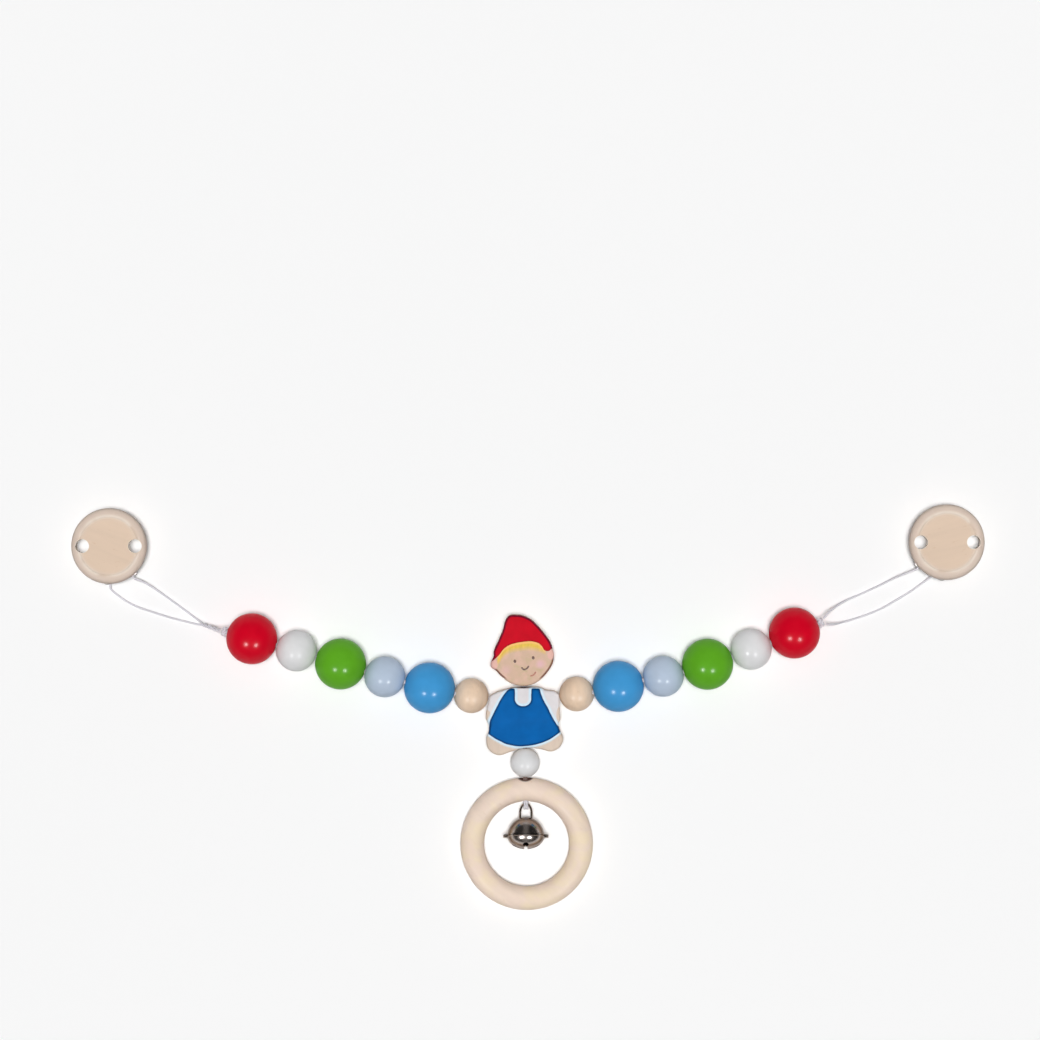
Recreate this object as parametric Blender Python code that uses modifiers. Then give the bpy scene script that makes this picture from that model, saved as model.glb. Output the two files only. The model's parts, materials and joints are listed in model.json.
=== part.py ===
"""Pram chain toy: wooden beads on a doubled cord, a flat wooden figure in the middle with a bead, a ring
and a small bell below it, and a wooden clip on a cord loop at each end.

The toy lies on a table, z = 0, and is seen from above: +X runs to the right along the chain, +Y towards
the figure's hat and +Z up from the table. The origin is on the table, under the crossing of the figure's
two bores.
"""
import math

import bmesh
import bpy
from mathutils import Matrix, Vector

# Clearances and cuts
SEAT_GAP = 0.0003
OVERRUN = 0.002
WELD = 0.00001

# Cord: two strands of elastic run side by side through every bore
CORD_DIAMETER = 0.0010
STRAND_OVERLAP = 0.0001
CORD_PITCH = CORD_DIAMETER - STRAND_OVERLAP
CORD_SIDE_COUNT = 8
CORD_END_GAP = 0.00045

# Beads
LARGE_BEAD = 0.025
MEDIUM_BEAD = 0.020
NATURAL_BEAD = 0.017
PENDANT_BEAD = 0.0145
BEAD_BORE = 0.0035
BEAD_MOUTH = 0.0044
BEAD_GAP = 0.0005
BEAD_STEPS = 16
BEAD_RING_COUNT = 8
CHAIN_BEADS = (
    ("natural", NATURAL_BEAD), ("blue", LARGE_BEAD), ("light_blue", MEDIUM_BEAD),
    ("green", LARGE_BEAD), ("white", MEDIUM_BEAD), ("red", LARGE_BEAD),
)
SIDES = {"left": -1, "right": 1}
HEADING_DEG = {"left": (8, 13, 15, 17, 16, 14.5), "right": (5.5, 14, 11, 18.5, 19.5, 21.5)}
FIRST_GAP_RISE_SHARE = 0.7634

# Figure: a flat body with a painted dress, and a flat head with a hat
BODY_HALF_WIDTH = 0.0192
BODY_TOP = 0.0047
BODY_DROP = 0.0286
BODY_THICKNESS = 0.014
BODY_EDGE = 0.0015
BODY_BORE = 0.0042
BODY_TURN_DEG = 2.0
BODY_OUTLINE_SHARES = (
    (-0.29, 0.97), (0.05, 1.0), (0.37, 0.98), (0.52, 0.72), (0.74, 0.60), (0.855, 0.27), (0.875, -0.02),
    (0.885, -0.22), (0.90, -0.37), (0.855, -0.47), (0.905, -0.60), (0.97, -0.68), (0.955, -0.78),
    (0.84, -0.885), (0.64, -0.93), (0.36, -0.885), (0.0, -0.87), (-0.36, -0.935), (-0.63, -0.995),
    (-0.83, -0.955), (-0.955, -0.865), (-0.985, -0.72), (-0.93, -0.60), (-0.925, -0.47), (-0.99, -0.38),
    (-0.985, -0.24), (-0.915, -0.06), (-0.88, 0.09), (-0.80, 0.33), (-0.60, 0.66), (-0.46, 0.80),
)
SHOULDER_SHARES = {"left": 0.9323, "right": 0.875}
BORE_RISE = 0.00085
DROP_CORD_SLOPE = 0.05
NECK_GAP = 0.0007
HEAD_HALF_WIDTH = 0.0157
HEAD_HEIGHT = 0.0347
HEAD_CENTRE_X = -0.0013
HEAD_TILT_DEG = 7.0
HEAD_BORE_DEPTH = 0.0130
HEAD_OUTLINE_SHARES = (
    (-0.37, 0.998), (-0.10, 1.0), (0.10, 0.975), (0.32, 0.92), (0.61, 0.78), (0.85, 0.635), (0.945, 0.52),
    (0.985, 0.43), (0.93, 0.30), (0.70, 0.15), (0.42, 0.045), (0.06, 0.0), (-0.34, 0.035), (-0.65, 0.135),
    (-0.82, 0.215), (-0.955, 0.255), (-0.99, 0.305), (-0.955, 0.36), (-0.895, 0.42), (-0.885, 0.50),
    (-0.73, 0.655), (-0.60, 0.80), (-0.555, 0.89), (-0.48, 0.96),
)
OUTLINE_CUT_COUNT = 2

# Pendant: a small bead, a ring on the drop cord and a bell hung inside the ring
DROP_X = -0.0001
DROP_LEAN_DEG = 1.1
RING_DIAMETER = 0.065
RING_SECTION = 0.0117
RING_BORE = 0.0048
RING_SEGMENT_COUNT = 40
RING_SIDE_COUNT = 12
HAIRPIN_SPREAD = 0.00145
EYE_WIRE = 0.0011
EYE_DROP = 0.0013
EYE_HALF_WIDTH = 0.0028
EYE_REACH = 0.0160
EYE_RISE = 0.0045
BELL_RADIUS = 0.00905
BELL_UPPER_HEIGHT = 0.0093
BELL_LOWER_HEIGHT = 0.0062
BELL_WALL = 0.0006
BELL_FLANGE_RADIUS = 0.0094
BELL_EAR_REACH = 0.0110
BELL_FLANGE = 0.0005
BELL_STEPS = 24
BELL_RING_COUNT = 6
BELL_SLOT_WIDTH = 0.0016
BELL_SLOT_LENGTH = 0.0125
CLAPPER_RADIUS = 0.0022
CLAPPER_OFFSET = 0.0056

# Clips: a wooden disc with two air holes over a sheet metal clip with a strap loop
DISC_CENTRE = {"left": (-0.2035, 0.0738), "right": (0.2064, 0.0757)}
CLIP_HEADING_DEG = {"left": -72, "right": -119}
DISC_DIAMETER = 0.037
DISC_BOTTOM = 0.0074
DISC_THICKNESS = 0.0076
DISC_BORDER = 0.0048
DISC_DISH_RADIUS = DISC_DIAMETER / 2 - DISC_BORDER
DISC_DISH_DEPTH = 0.0005
DISC_STEPS = 32
AIR_HOLE = 0.0066
AIR_HOLE_INSET = 0.0056
AIR_HOLE_SPACING = DISC_DIAMETER - 2 * AIR_HOLE_INSET
PLATE_THICKNESS = 0.0008
PLATE_HALF_WIDTH = 0.0066
PLATE_JAW = 0.0130
PLATE_REAR = 0.0135
PLATE_NECK = 0.0112
PLATE_REAR_HALF_WIDTH = 0.0088
STRAP_WIRE = 0.0016
STRAP_INSET = 0.0015
STRAP_REACH = DISC_DIAMETER / 2 - STRAP_INSET
STRAP_HALF_WIDTH = 0.0082
STRAP_LEG_START = 0.0117
STRAP_BAR_DROP = 0.0006
STRAP_CORNER = 0.0018
HINGE_ALONG = -0.0070
HINGE_HEIGHT = 0.0032
HINGE_PIN = 0.0016
HINGE_CLEARANCE = 0.0003
PIN_HEAD = 0.0026
PIN_HEAD_LENGTH = 0.0006
EAR_HALF_LENGTH = 0.0021
LEVER_HALF_WIDTH = 0.0055
LEVER_SHEET = 0.0008
LEVER_LENGTH = 0.0170
LEVER_NOSE = 0.0026
LEVER_FLANGE_TOP = 0.0019
CAM_RADIUS = 0.0028
CAM_LENGTH = 0.0032
CAM_TOOTH = 0.0004
CAM_TOOTH_COUNT = 3
SCREW_HEAD = 0.0052
SCREW_HEAD_HEIGHT = 0.0010
SCREW_SHANK = 0.0022
SCREW_LENGTH = 0.0062

# Cord loops at the chain's ends, with the knot that closes each at the last bead
KNOT_LENGTH = 0.0034
KNOT_WIDTH = 0.0044
KNOT_HEIGHT = 0.0034
LOOP_SPACING = 0.0012
LOOP_CROSSINGS = {"left": (0.0062, -0.0062), "right": (-0.0062, 0.0020)}
LOOP_BEND = 0.0030
LOOP_OUT = {
    "left": ((-0.1614, 0.0380, 0.0015), (-0.1648, 0.0405, 0.0009), (-0.1712, 0.0452, 0.0008),
             (-0.1797, 0.0513, 0.0013), (-0.1862, 0.0556, 0.0036)),
    "right": ((0.1490, 0.0415, 0.0098), (0.1530, 0.0443, 0.0050), (0.1580, 0.0471, 0.0016),
              (0.1648, 0.0500, 0.0008), (0.1741, 0.0543, 0.0012), (0.1825, 0.0585, 0.0034)),
}
LOOP_BACK = {
    "left": ((-0.2030, 0.0520, 0.0012), (-0.1971, 0.0474, 0.0008), (-0.1907, 0.0440, 0.0008),
             (-0.1824, 0.0411, 0.0008), (-0.1731, 0.0382, 0.0008), (-0.1662, 0.0365, 0.0009),
             (-0.1616, 0.0354, 0.0015)),
    "right": ((0.1938, 0.0545, 0.0010), (0.1898, 0.0516, 0.0008), (0.1834, 0.0477, 0.0008),
              (0.1765, 0.0437, 0.0008), (0.1697, 0.0406, 0.0008), (0.1624, 0.0381, 0.0010),
              (0.1560, 0.0363, 0.0026), (0.1510, 0.0354, 0.0082)),
}

COLOURS = {
    "red": (0.62, 0.006, 0.016), "green": (0.105, 0.38, 0.025), "white": (0.76, 0.76, 0.76),
    "light_blue": (0.50, 0.60, 0.72), "blue": (0.06, 0.33, 0.66), "natural": (0.81, 0.62, 0.45),
    "ring": (0.84, 0.70, 0.56), "disc": (0.76, 0.59, 0.46), "body": (0.0, 0.11, 0.39),
    "head": (0.68, 0.46, 0.35), "cord": (0.72, 0.72, 0.74), "nickel": (0.62, 0.60, 0.58),
    "steel": (0.60, 0.60, 0.61), "plastic": (0.85, 0.85, 0.84),
}
LACQUER_ROUGHNESS = 0.25
BARE_WOOD_ROUGHNESS = 0.5
CLOTH_ROUGHNESS = 0.8
POLISHED_ROUGHNESS = 0.12
BRUSHED_ROUGHNESS = 0.3

WORLD = {}


def clear_scene():
    for thing in list(bpy.data.objects):
        bpy.data.objects.remove(thing, do_unlink=True)


def collection(name):
    made = bpy.data.collections.new(name)
    bpy.context.scene.collection.children.link(made)
    return made


def material(name, roughness, metallic=0.0):
    made = bpy.data.materials.get(name) or bpy.data.materials.new(name)
    made.use_nodes = True
    shader = made.node_tree.nodes["Principled BSDF"]
    shader.inputs["Base Color"].default_value = (*COLOURS[name], 1)
    shader.inputs["Roughness"].default_value = roughness
    shader.inputs["Metallic"].default_value = metallic
    made.diffuse_color = (*COLOURS[name], 1)
    return made


def put(thing, matrix, parent=None):
    """Places an object by its world matrix, under its parent."""
    above = WORLD[parent.name] if parent else Matrix.Identity(4)
    thing.parent = parent
    thing.matrix_basis = above.inverted() @ matrix
    WORLD[thing.name] = matrix.copy()
    return thing


def pivot(name, matrix, parent=None):
    """An empty on a joint's axis, which carries what moves there."""
    empty = bpy.data.objects.new(name, None)
    PARTS.objects.link(empty)
    return put(empty, matrix, parent)


def finish_piece(thing, finish, matrix, parent=None, smooth=True):
    thing.data.materials.clear()
    thing.data.materials.append(finish)
    PARTS.objects.link(thing)
    if smooth:
        thing.data.shade_smooth()
        thing.data.set_sharp_from_angle(angle=math.radians(SHARP_DEG))
    return put(thing, matrix, parent)


SHARP_DEG = 40


def facing(direction, point):
    """The world matrix whose Z runs along a direction and whose X stays level."""
    turn = direction.to_track_quat("Z", "Y").to_matrix().to_4x4()
    return Matrix.Translation(point) @ turn


def flat_turn(point, degrees):
    return Matrix.Translation(point) @ Matrix.Rotation(math.radians(degrees), 4, "Z")


def as_mesh(name, curve):
    """A curve made into a welded mesh object of its own."""
    source = bpy.data.objects.new(name + "_curve", curve)
    bpy.context.scene.collection.objects.link(source)
    graph = bpy.context.evaluated_depsgraph_get()
    mesh = bpy.data.meshes.new_from_object(source.evaluated_get(graph))
    bpy.data.objects.remove(source, do_unlink=True)
    shape = bmesh.new()
    shape.from_mesh(mesh)
    bmesh.ops.remove_doubles(shape, verts=shape.verts, dist=WELD)
    bmesh.ops.recalc_face_normals(shape, faces=shape.faces)
    shape.to_mesh(mesh)
    shape.free()
    return bpy.data.objects.new(name, mesh)


def slab(name, outlines, thickness):
    """A flat piece from closed outlines, the later ones being holes, centred on its own plane."""
    curve = bpy.data.curves.new(name, "CURVE")
    curve.dimensions = "2D"
    curve.fill_mode = "BOTH"
    curve.extrude = thickness / 2
    for outline in outlines:
        spline = curve.splines.new("POLY")
        spline.points.add(len(outline) - 1)
        for point, place in zip(spline.points, outline):
            point.co = (place[0], place[1], 0, 1)
        spline.use_cyclic_u = True
    return as_mesh(name, curve)


def tube(name, points, diameter):
    """A round wire or cord along a list of points, with filled caps."""
    curve = bpy.data.curves.new(name, "CURVE")
    curve.dimensions = "3D"
    curve.bevel_depth = diameter / 2
    curve.bevel_resolution = 2
    curve.use_fill_caps = True
    spline = curve.splines.new("POLY")
    spline.points.add(len(points) - 1)
    for point, place in zip(spline.points, points):
        point.co = (*place, 1)
    return as_mesh(name, curve)


def turned(name, profile, steps):
    """A turned piece: its profile of (radius, height) pairs swept round Z by a Screw modifier."""
    mesh = bpy.data.meshes.new(name)
    shape = bmesh.new()
    corners = [shape.verts.new((radius, 0, height)) for radius, height in profile]
    for first, second in zip(corners, corners[1:] + corners[:1]):
        shape.edges.new((first, second))
    shape.to_mesh(mesh)
    shape.free()
    thing = bpy.data.objects.new(name, mesh)
    screw = thing.modifiers.new("turning", "SCREW")
    screw.steps = steps
    screw.render_steps = steps
    screw.use_merge_vertices = True
    screw.merge_threshold = WELD
    screw.use_smooth_shade = True
    return thing


def ball_mesh(name, size, segments, rings):
    mesh = bpy.data.meshes.new(name)
    shape = bmesh.new()
    bmesh.ops.create_uvsphere(shape, u_segments=segments, v_segments=rings, radius=1 / 2)
    bmesh.ops.scale(shape, vec=size, verts=shape.verts)
    shape.to_mesh(mesh)
    shape.free()
    return bpy.data.objects.new(name, mesh)


def cutter(name, shape_maker, matrix):
    mesh = bpy.data.meshes.new(name)
    shape = bmesh.new()
    shape_maker(shape)
    shape.to_mesh(mesh)
    shape.free()
    thing = bpy.data.objects.new(name, mesh)
    thing.hide_render = True
    thing.display_type = "WIRE"
    CUTTERS.objects.link(thing)
    return put(thing, matrix)


def drill(target, diameter, length, matrix, sides=12):
    """Cuts a round hole, centred on the matrix and running along its Z."""
    def make(shape):
        bmesh.ops.create_cone(shape, cap_ends=True, segments=sides, radius1=diameter / 2,
                              radius2=diameter / 2, depth=length)
    join(target, cutter(target.name + "_hole", make, matrix), "DIFFERENCE")


def mill(target, size, matrix):
    """Cuts a box of the given size, centred on the matrix."""
    def make(shape):
        bmesh.ops.create_cube(shape, size=1)
        bmesh.ops.scale(shape, vec=size, verts=shape.verts)
    join(target, cutter(target.name + "_slot", make, matrix), "DIFFERENCE")


def join(target, tool, operation):
    step = target.modifiers.new(operation.lower(), "BOOLEAN")
    step.operation = operation
    step.solver = "EXACT"
    step.object = tool


def bevel(target, width, segments):
    edge = target.modifiers.new("rounded edge", "BEVEL")
    edge.width = width
    edge.segments = segments
    edge.limit_method = "ANGLE"
    edge.angle_limit = math.radians(60)


def smooth_ring(points, cuts):
    """A closed outline led smoothly through its points, with extra points between each pair."""
    ring = []
    for index in range(len(points)):
        four = [Vector(points[(index + step) % len(points)]) for step in (-1, 0, 1, 2)]
        for cut in range(cuts):
            ring.append(between(*four, cut / cuts))
    return ring


def between(before, here, after, beyond, share):
    """A point on the smooth curve from here to after."""
    swing = (after - before) * share
    bend = (2 * before - 5 * here + 4 * after - beyond) * share ** 2
    fade = (3 * here - before - 3 * after + beyond) * share ** 3
    return here + (swing + bend + fade) / 2


def smooth_route(points, spacing):
    """A smooth open route through its points, with a point about every spacing."""
    points = [Vector(point) for point in points]
    ends = [points[0] * 2 - points[1]] + points + [points[-1] * 2 - points[-2]]
    fine = []
    for index in range(1, len(ends) - 2):
        fine += [between(*ends[index - 1:index + 3], cut / FINE_CUT_COUNT) for cut in range(FINE_CUT_COUNT)]
    fine.append(points[-1])
    length = sum((b - a).length for a, b in zip(fine, fine[1:]))
    count = round(length / spacing)
    route, run, reached = [fine[0]], 0, 1
    for a, b in zip(fine, fine[1:]):
        step = (b - a).length
        while reached < count and run + step >= length * reached / count:
            route.append(a.lerp(b, (length * reached / count - run) / step))
            reached += 1
        run += step
    return route + [fine[-1]]


FINE_CUT_COUNT = 24


def radians(degrees):
    return math.radians(degrees)


def level_direction(degrees):
    return Vector((math.cos(radians(degrees)), math.sin(radians(degrees)), 0))


def bead_half(diameter):
    """Half the length of a bead, from its middle to the flat round its bore."""
    return math.sqrt(diameter ** 2 - BEAD_MOUTH ** 2) / 2


def bead(name, diameter, finish, matrix, parent):
    """A turned ball with a bore whose mouths are slightly opened."""
    half = bead_half(diameter)
    start = math.asin(BEAD_MOUTH / diameter)
    mouth_depth = (BEAD_MOUTH - BEAD_BORE) / 2
    profile = []
    for ring in range(BEAD_RING_COUNT + 1):
        angle = start + (math.pi - 2 * start) * ring / BEAD_RING_COUNT
        profile.append((math.sin(angle) * diameter / 2, math.cos(angle) * diameter / 2))
    profile += [(BEAD_BORE / 2, mouth_depth - half), (BEAD_BORE / 2, half - mouth_depth)]
    return finish_piece(turned(name, profile, BEAD_STEPS), finish, matrix, parent)


def cord_pair(name, length, matrix, parent):
    """Two strands side by side as one straight stretch, centred on the matrix and running along its Z."""
    radius = CORD_DIAMETER / 2
    reach = math.pi - math.acos(CORD_PITCH / 2 / radius)
    outline = []
    for lobe in (0, math.pi):
        for step in range(CORD_SIDE_COUNT):
            angle = lobe - reach + 2 * reach * step / CORD_SIDE_COUNT
            side = math.cos(lobe) * CORD_PITCH / 2
            outline.append((side + radius * math.cos(angle), radius * math.sin(angle)))
    return finish_piece(slab(name, [outline], length), material("cord", CLOTH_ROUGHNESS), matrix, parent)


def body_middle():
    return BODY_THICKNESS / 2


def chain_cord_height():
    return body_middle() + BORE_RISE


def bore_line():
    return level_direction(BODY_TURN_DEG)


def chain(side):
    """Each bead's start, centre, end and direction, from the figure's shoulder outwards."""
    sign = SIDES[side]
    start = bore_line() * sign * (BODY_HALF_WIDTH * SHOULDER_SHARES[side] + BEAD_GAP / 2)
    start.z = chain_cord_height()
    line = LARGE_BEAD / 2
    places = []
    for (name, diameter), heading in zip(CHAIN_BEADS, HEADING_DEG[side]):
        half = bead_half(diameter) + BEAD_GAP / 2
        if name == "natural":
            rise = math.asin((line - start.z) * FIRST_GAP_RISE_SHARE / (2 * half))
        elif name == "blue":
            rise = math.asin((line - start.z) / half)
        else:
            rise = math.asin((line - start.z) / (2 * half))
        flat = level_direction(heading)
        direction = Vector((sign * flat.x, flat.y, 0)) * math.cos(rise) + Vector((0, 0, math.sin(rise)))
        centre = start + direction * half
        places.append((name, diameter, start, centre, direction))
        start = centre + direction * half
    return places, start, direction


def outline_body():
    ring = smooth_ring(BODY_OUTLINE_SHARES, OUTLINE_CUT_COUNT)
    return [(x * BODY_HALF_WIDTH, y * (BODY_TOP if y > 0 else BODY_DROP)) for x, y in ring]


def outline_head():
    ring = smooth_ring(HEAD_OUTLINE_SHARES, OUTLINE_CUT_COUNT)
    base = BODY_TOP + NECK_GAP
    return [(HEAD_CENTRE_X + x * HEAD_HALF_WIDTH, base + y * HEAD_HEIGHT) for x, y in ring]


def drop_cord_point(y):
    """A point of the upright cord, which passes under the chain's cord at the middle of the figure."""
    return Vector((DROP_X, y, body_middle() - BORE_RISE - DROP_CORD_SLOPE * y))


def torso():
    root = pivot("figure", Matrix.Identity(4))
    piece = slab("figure_body", [outline_body()], BODY_THICKNESS)
    bevel(piece, BODY_EDGE, 2)
    middle = Vector((0, 0, body_middle()))
    drill(piece, BODY_BORE, 2 * BODY_HALF_WIDTH + 2 * OVERRUN, facing(bore_line(), middle))
    upright = Vector((DROP_X, (BODY_TOP - BODY_DROP) / 2, body_middle()))
    drill(piece, BODY_BORE, BODY_TOP + BODY_DROP + 2 * OVERRUN, facing(Vector((0, 1, 0)), upright))
    finish_piece(piece, material("body", LACQUER_ROUGHNESS), Matrix.Translation(middle), root)
    ends = [chain(side)[0][0][2] for side in SIDES]
    run = ends[1] - ends[0]
    middle = (ends[0] + ends[1]) / 2
    cord_pair("chain_cord_in_body", run.length - CORD_END_GAP, facing(run.normalized(), middle), root)
    low, high = drop_cord_point(pendant_start().y), drop_cord_point(neck_point().y)
    run = high - low
    middle = (low + high) / 2
    cord_pair("drop_cord_in_body", run.length - CORD_END_GAP, facing(run.normalized(), middle), root)
    return root


def neck_point():
    return drop_cord_point(BODY_TOP + NECK_GAP / 2)


def head(root):
    """The head tilts at the neck with the stub of cord, and turns on that stub."""
    up = level_direction(90 + HEAD_TILT_DEG)
    neck = pivot("head_tilt", facing(up, neck_point()), root)
    stub = HEAD_BORE_DEPTH - CORD_END_GAP
    middle = neck_point() + up * (CORD_END_GAP + stub) / 2
    cord_pair("neck_cord", stub, facing(up, middle), neck)
    turn = pivot("head_turn", facing(up, neck_point()), neck)
    piece = slab("figure_head", [outline_head()], BODY_THICKNESS)
    bevel(piece, BODY_EDGE, 2)
    hole = neck_point() + up * (HEAD_BORE_DEPTH + SEAT_GAP - OVERRUN) / 2
    drill(piece, BEAD_BORE, HEAD_BORE_DEPTH + SEAT_GAP + OVERRUN, facing(up, hole))
    finish_piece(piece, material("head", LACQUER_ROUGHNESS), Matrix.Translation((0, 0, body_middle())), turn)


def pendant_start():
    lowest = -BODY_DROP * BODY_FOOT_SHARE
    return drop_cord_point(lowest - BEAD_GAP / 2)


BODY_FOOT_SHARE = 0.87


def pendant_places():
    """The pendant bead's centre, the cord's line, the gap under the bead, the ring's centre and the eye."""
    start = pendant_start()
    half = bead_half(PENDANT_BEAD) + BEAD_GAP / 2
    dip = math.asin((PENDANT_BEAD / 2 - start.z) / half)
    flat = level_direction(DROP_LEAN_DEG - 90)
    line = flat * math.cos(dip) + Vector((0, 0, math.sin(dip)))
    centre = start + line * half
    gap = centre + line * half
    ring = gap + flat * (BEAD_GAP / 2 + RING_DIAMETER / 2)
    eye = gap + flat * (BEAD_GAP / 2 + RING_SECTION + EYE_DROP)
    ring.z = eye.z = RING_SECTION / 2
    return centre, line, gap, ring, eye


def pendant(root):
    centre, line, gap, ring_centre, eye = pendant_places()
    swing = pivot("pendant_swing", facing(line, pendant_start()), root)
    length = 2 * (bead_half(PENDANT_BEAD) + BEAD_GAP / 2) - CORD_END_GAP
    cord_pair("pendant_cord", length, facing(line, centre), swing)
    spin = pivot("pendant_bead_spin", facing(line, centre), swing)
    bead("pendant_bead", PENDANT_BEAD, material("white", LACQUER_ROUGHNESS), facing(line, centre), spin)
    run = eye - gap
    down = run.normalized()
    ring_swing = pivot("ring_swing", facing(down, gap), swing)
    hairpin(gap, eye, ring_swing)
    ring_turn = pivot("ring_turn", facing(down, gap), ring_swing)
    ring(ring_centre, gap, down, run.length, ring_turn)
    bell(eye, ring_swing)


def hairpin(gap, eye, parent):
    """The drop cord's end: down one strand, round the bell's eye and back up the other."""
    run = eye - gap
    down = run.normalized()
    over = down.cross(Vector((1, 0, 0))).normalized()
    spread = HAIRPIN_SPREAD
    top = gap + down * SEAT_GAP / 2
    points = [top + over * spread, top.lerp(eye, 0.5) + over * spread]
    for step in range(HAIRPIN_STEPS + 1):
        angle = math.pi * step / HAIRPIN_STEPS
        points.append(eye + over * spread * math.cos(angle) + down * spread * math.sin(angle))
    points += [top.lerp(eye, 0.5) - over * spread, top - over * spread]
    piece = tube("bell_cord", points, CORD_DIAMETER)
    finish_piece(piece, material("cord", CLOTH_ROUGHNESS), Matrix.Identity(4), parent)


HAIRPIN_STEPS = 8


def ring(centre, gap, down, run, parent):
    bpy.ops.mesh.primitive_torus_add(
        major_segments=RING_SEGMENT_COUNT, minor_segments=RING_SIDE_COUNT,
        major_radius=(RING_DIAMETER - RING_SECTION) / 2, minor_radius=RING_SECTION / 2,
    )
    made = bpy.context.object
    mesh = made.data
    bpy.data.objects.remove(made, do_unlink=True)
    piece = bpy.data.objects.new("grasping_ring", mesh)
    drill(piece, RING_BORE, run + 2 * OVERRUN, facing(down, gap + down * run / 2))
    finish_piece(piece, material("ring", BARE_WOOD_ROUGHNESS), Matrix.Translation(centre), parent)


def bell_frame(eye):
    """The bell leans back until its rim rests on the table: its centre, and the way to its eye."""
    reach, rim = EYE_REACH - BELL_FLANGE - SEAT_GAP / 2, BELL_FLANGE_RADIUS
    lean = math.atan2(rim, reach) - math.asin(eye.z / math.hypot(reach, rim))
    axis = Vector((0, math.cos(lean), -math.sin(lean)))
    return eye - axis * EYE_REACH, axis


def dome(rings, radius, height):
    """A quarter ellipse from the pole to the rim."""
    turns = [math.pi / 2 * ring / rings for ring in range(rings)]
    return [(radius * math.sin(turn), height * math.cos(turn)) for turn in turns]


def shell_profile(height):
    flat, edge = SEAT_GAP / 2, SEAT_GAP / 2 + BELL_FLANGE
    outer = dome(BELL_RING_COUNT, BELL_RADIUS, height)
    inner = dome(BELL_RING_COUNT, BELL_RADIUS - BELL_WALL, height - BELL_WALL)
    rim = [(BELL_RADIUS, edge), (BELL_FLANGE_RADIUS, edge), (BELL_FLANGE_RADIUS, flat)]
    rim.append((BELL_RADIUS - BELL_WALL, flat))
    return outer + rim + inner[::-1]


def eared(name, height):
    """A bell shell whose narrow flange is drawn out into an ear at either side."""
    source = turned(name, shell_profile(height), BELL_STEPS)
    bpy.context.scene.collection.objects.link(source)
    graph = bpy.context.evaluated_depsgraph_get()
    mesh = bpy.data.meshes.new_from_object(source.evaluated_get(graph))
    bpy.data.objects.remove(source, do_unlink=True)
    for vertex in mesh.vertices:
        reach = math.hypot(vertex.co.x, vertex.co.y)
        if reach > (BELL_RADIUS + BELL_FLANGE_RADIUS) / 2 and abs(vertex.co.y) < SEAT_GAP:
            vertex.co.x *= BELL_EAR_REACH / reach
    return bpy.data.objects.new(name, mesh)


def bell(eye, parent):
    centre, axis = bell_frame(eye)
    frame = facing(axis, centre)
    swing = pivot("bell_swing", Matrix.Translation(eye), parent)
    nickel = material("nickel", POLISHED_ROUGHNESS, 1.0)
    upper = eared("bell_upper_shell", BELL_UPPER_HEIGHT)
    for side in (-1, 1):
        place = frame @ Matrix.Translation((side * EYE_HALF_WIDTH, 0, BELL_UPPER_HEIGHT))
        drill(upper, EYE_WIRE + 2 * SEAT_GAP, 4 * OVERRUN, place, 8)
    finish_piece(upper, nickel, frame, swing)
    lower = eared("bell_lower_shell", BELL_LOWER_HEIGHT)
    flip = frame @ Matrix.Rotation(math.pi, 4, "X")
    for quarter in (0, 1):
        turn = Matrix.Rotation(quarter * math.pi / 2, 4, "Z")
        place = flip @ turn @ Matrix.Translation((0, 0, BELL_LOWER_HEIGHT))
        mill(lower, (BELL_SLOT_LENGTH, BELL_SLOT_WIDTH, BELL_LOWER_HEIGHT), place)
    finish_piece(lower, nickel, flip, swing)
    wire = []
    foot = BELL_UPPER_HEIGHT - EYE_FOOT
    for step in range(EYE_STEPS + 1):
        angle = math.pi * step / EYE_STEPS
        across = math.cos(angle) * EYE_HALF_WIDTH
        wire.append((across, 0, EYE_REACH - EYE_RISE * (1 - math.sin(angle))))
    wire = [(EYE_HALF_WIDTH, 0, foot)] + wire + [(-EYE_HALF_WIDTH, 0, foot)]
    finish_piece(tube("bell_eye", wire, EYE_WIRE), nickel, frame, swing)
    down = (Vector((0, 0, -1)) + axis * axis.z).normalized()
    ball = Matrix.Translation(centre + down * CLAPPER_OFFSET)
    rattle = pivot("clapper_slide", ball, swing)
    size = (2 * CLAPPER_RADIUS,) * 3
    finish_piece(ball_mesh("bell_clapper", size, 12, 8), nickel, ball, rattle)


EYE_FOOT = 0.0022
EYE_STEPS = 8


def bead_chain(side, root):
    """The side's beads, each spinning on its own stretch of cord, which bends at the gap before it."""
    parent = root
    places, end, direction = chain(side)
    for name, diameter, start, centre, line in places:
        parent = pivot(f"{side}_{name}_bend", facing(line, start), parent)
        length = 2 * (bead_half(diameter) + BEAD_GAP / 2) - CORD_END_GAP
        cord_pair(f"{side}_cord_in_{name}_bead", length, facing(line, centre), parent)
        spin = pivot(f"{side}_{name}_spin", facing(line, centre), parent)
        roughness = BARE_WOOD_ROUGHNESS if name == "natural" else LACQUER_ROUGHNESS
        bead(f"{side}_{name}_bead", diameter, material(name, roughness), facing(line, centre), spin)
    return knot(side, end, direction, parent)


def knot(side, end, direction, parent):
    middle = end + direction * (KNOT_LENGTH / 2)
    piece = ball_mesh(f"{side}_knot", (KNOT_WIDTH, KNOT_HEIGHT, KNOT_LENGTH), 10, 8)
    finish_piece(piece, material("cord", CLOTH_ROUGHNESS), facing(direction, middle), parent)
    return parent, end + direction * (KNOT_LENGTH + SEAT_GAP), direction


def clip_frame(side):
    return flat_turn(Vector((*DISC_CENTRE[side], 0)), CLIP_HEADING_DEG[side])


def plate_height():
    return DISC_BOTTOM - SEAT_GAP - PLATE_THICKNESS


def leg_height():
    return plate_height() - SEAT_GAP - STRAP_WIRE / 2


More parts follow.
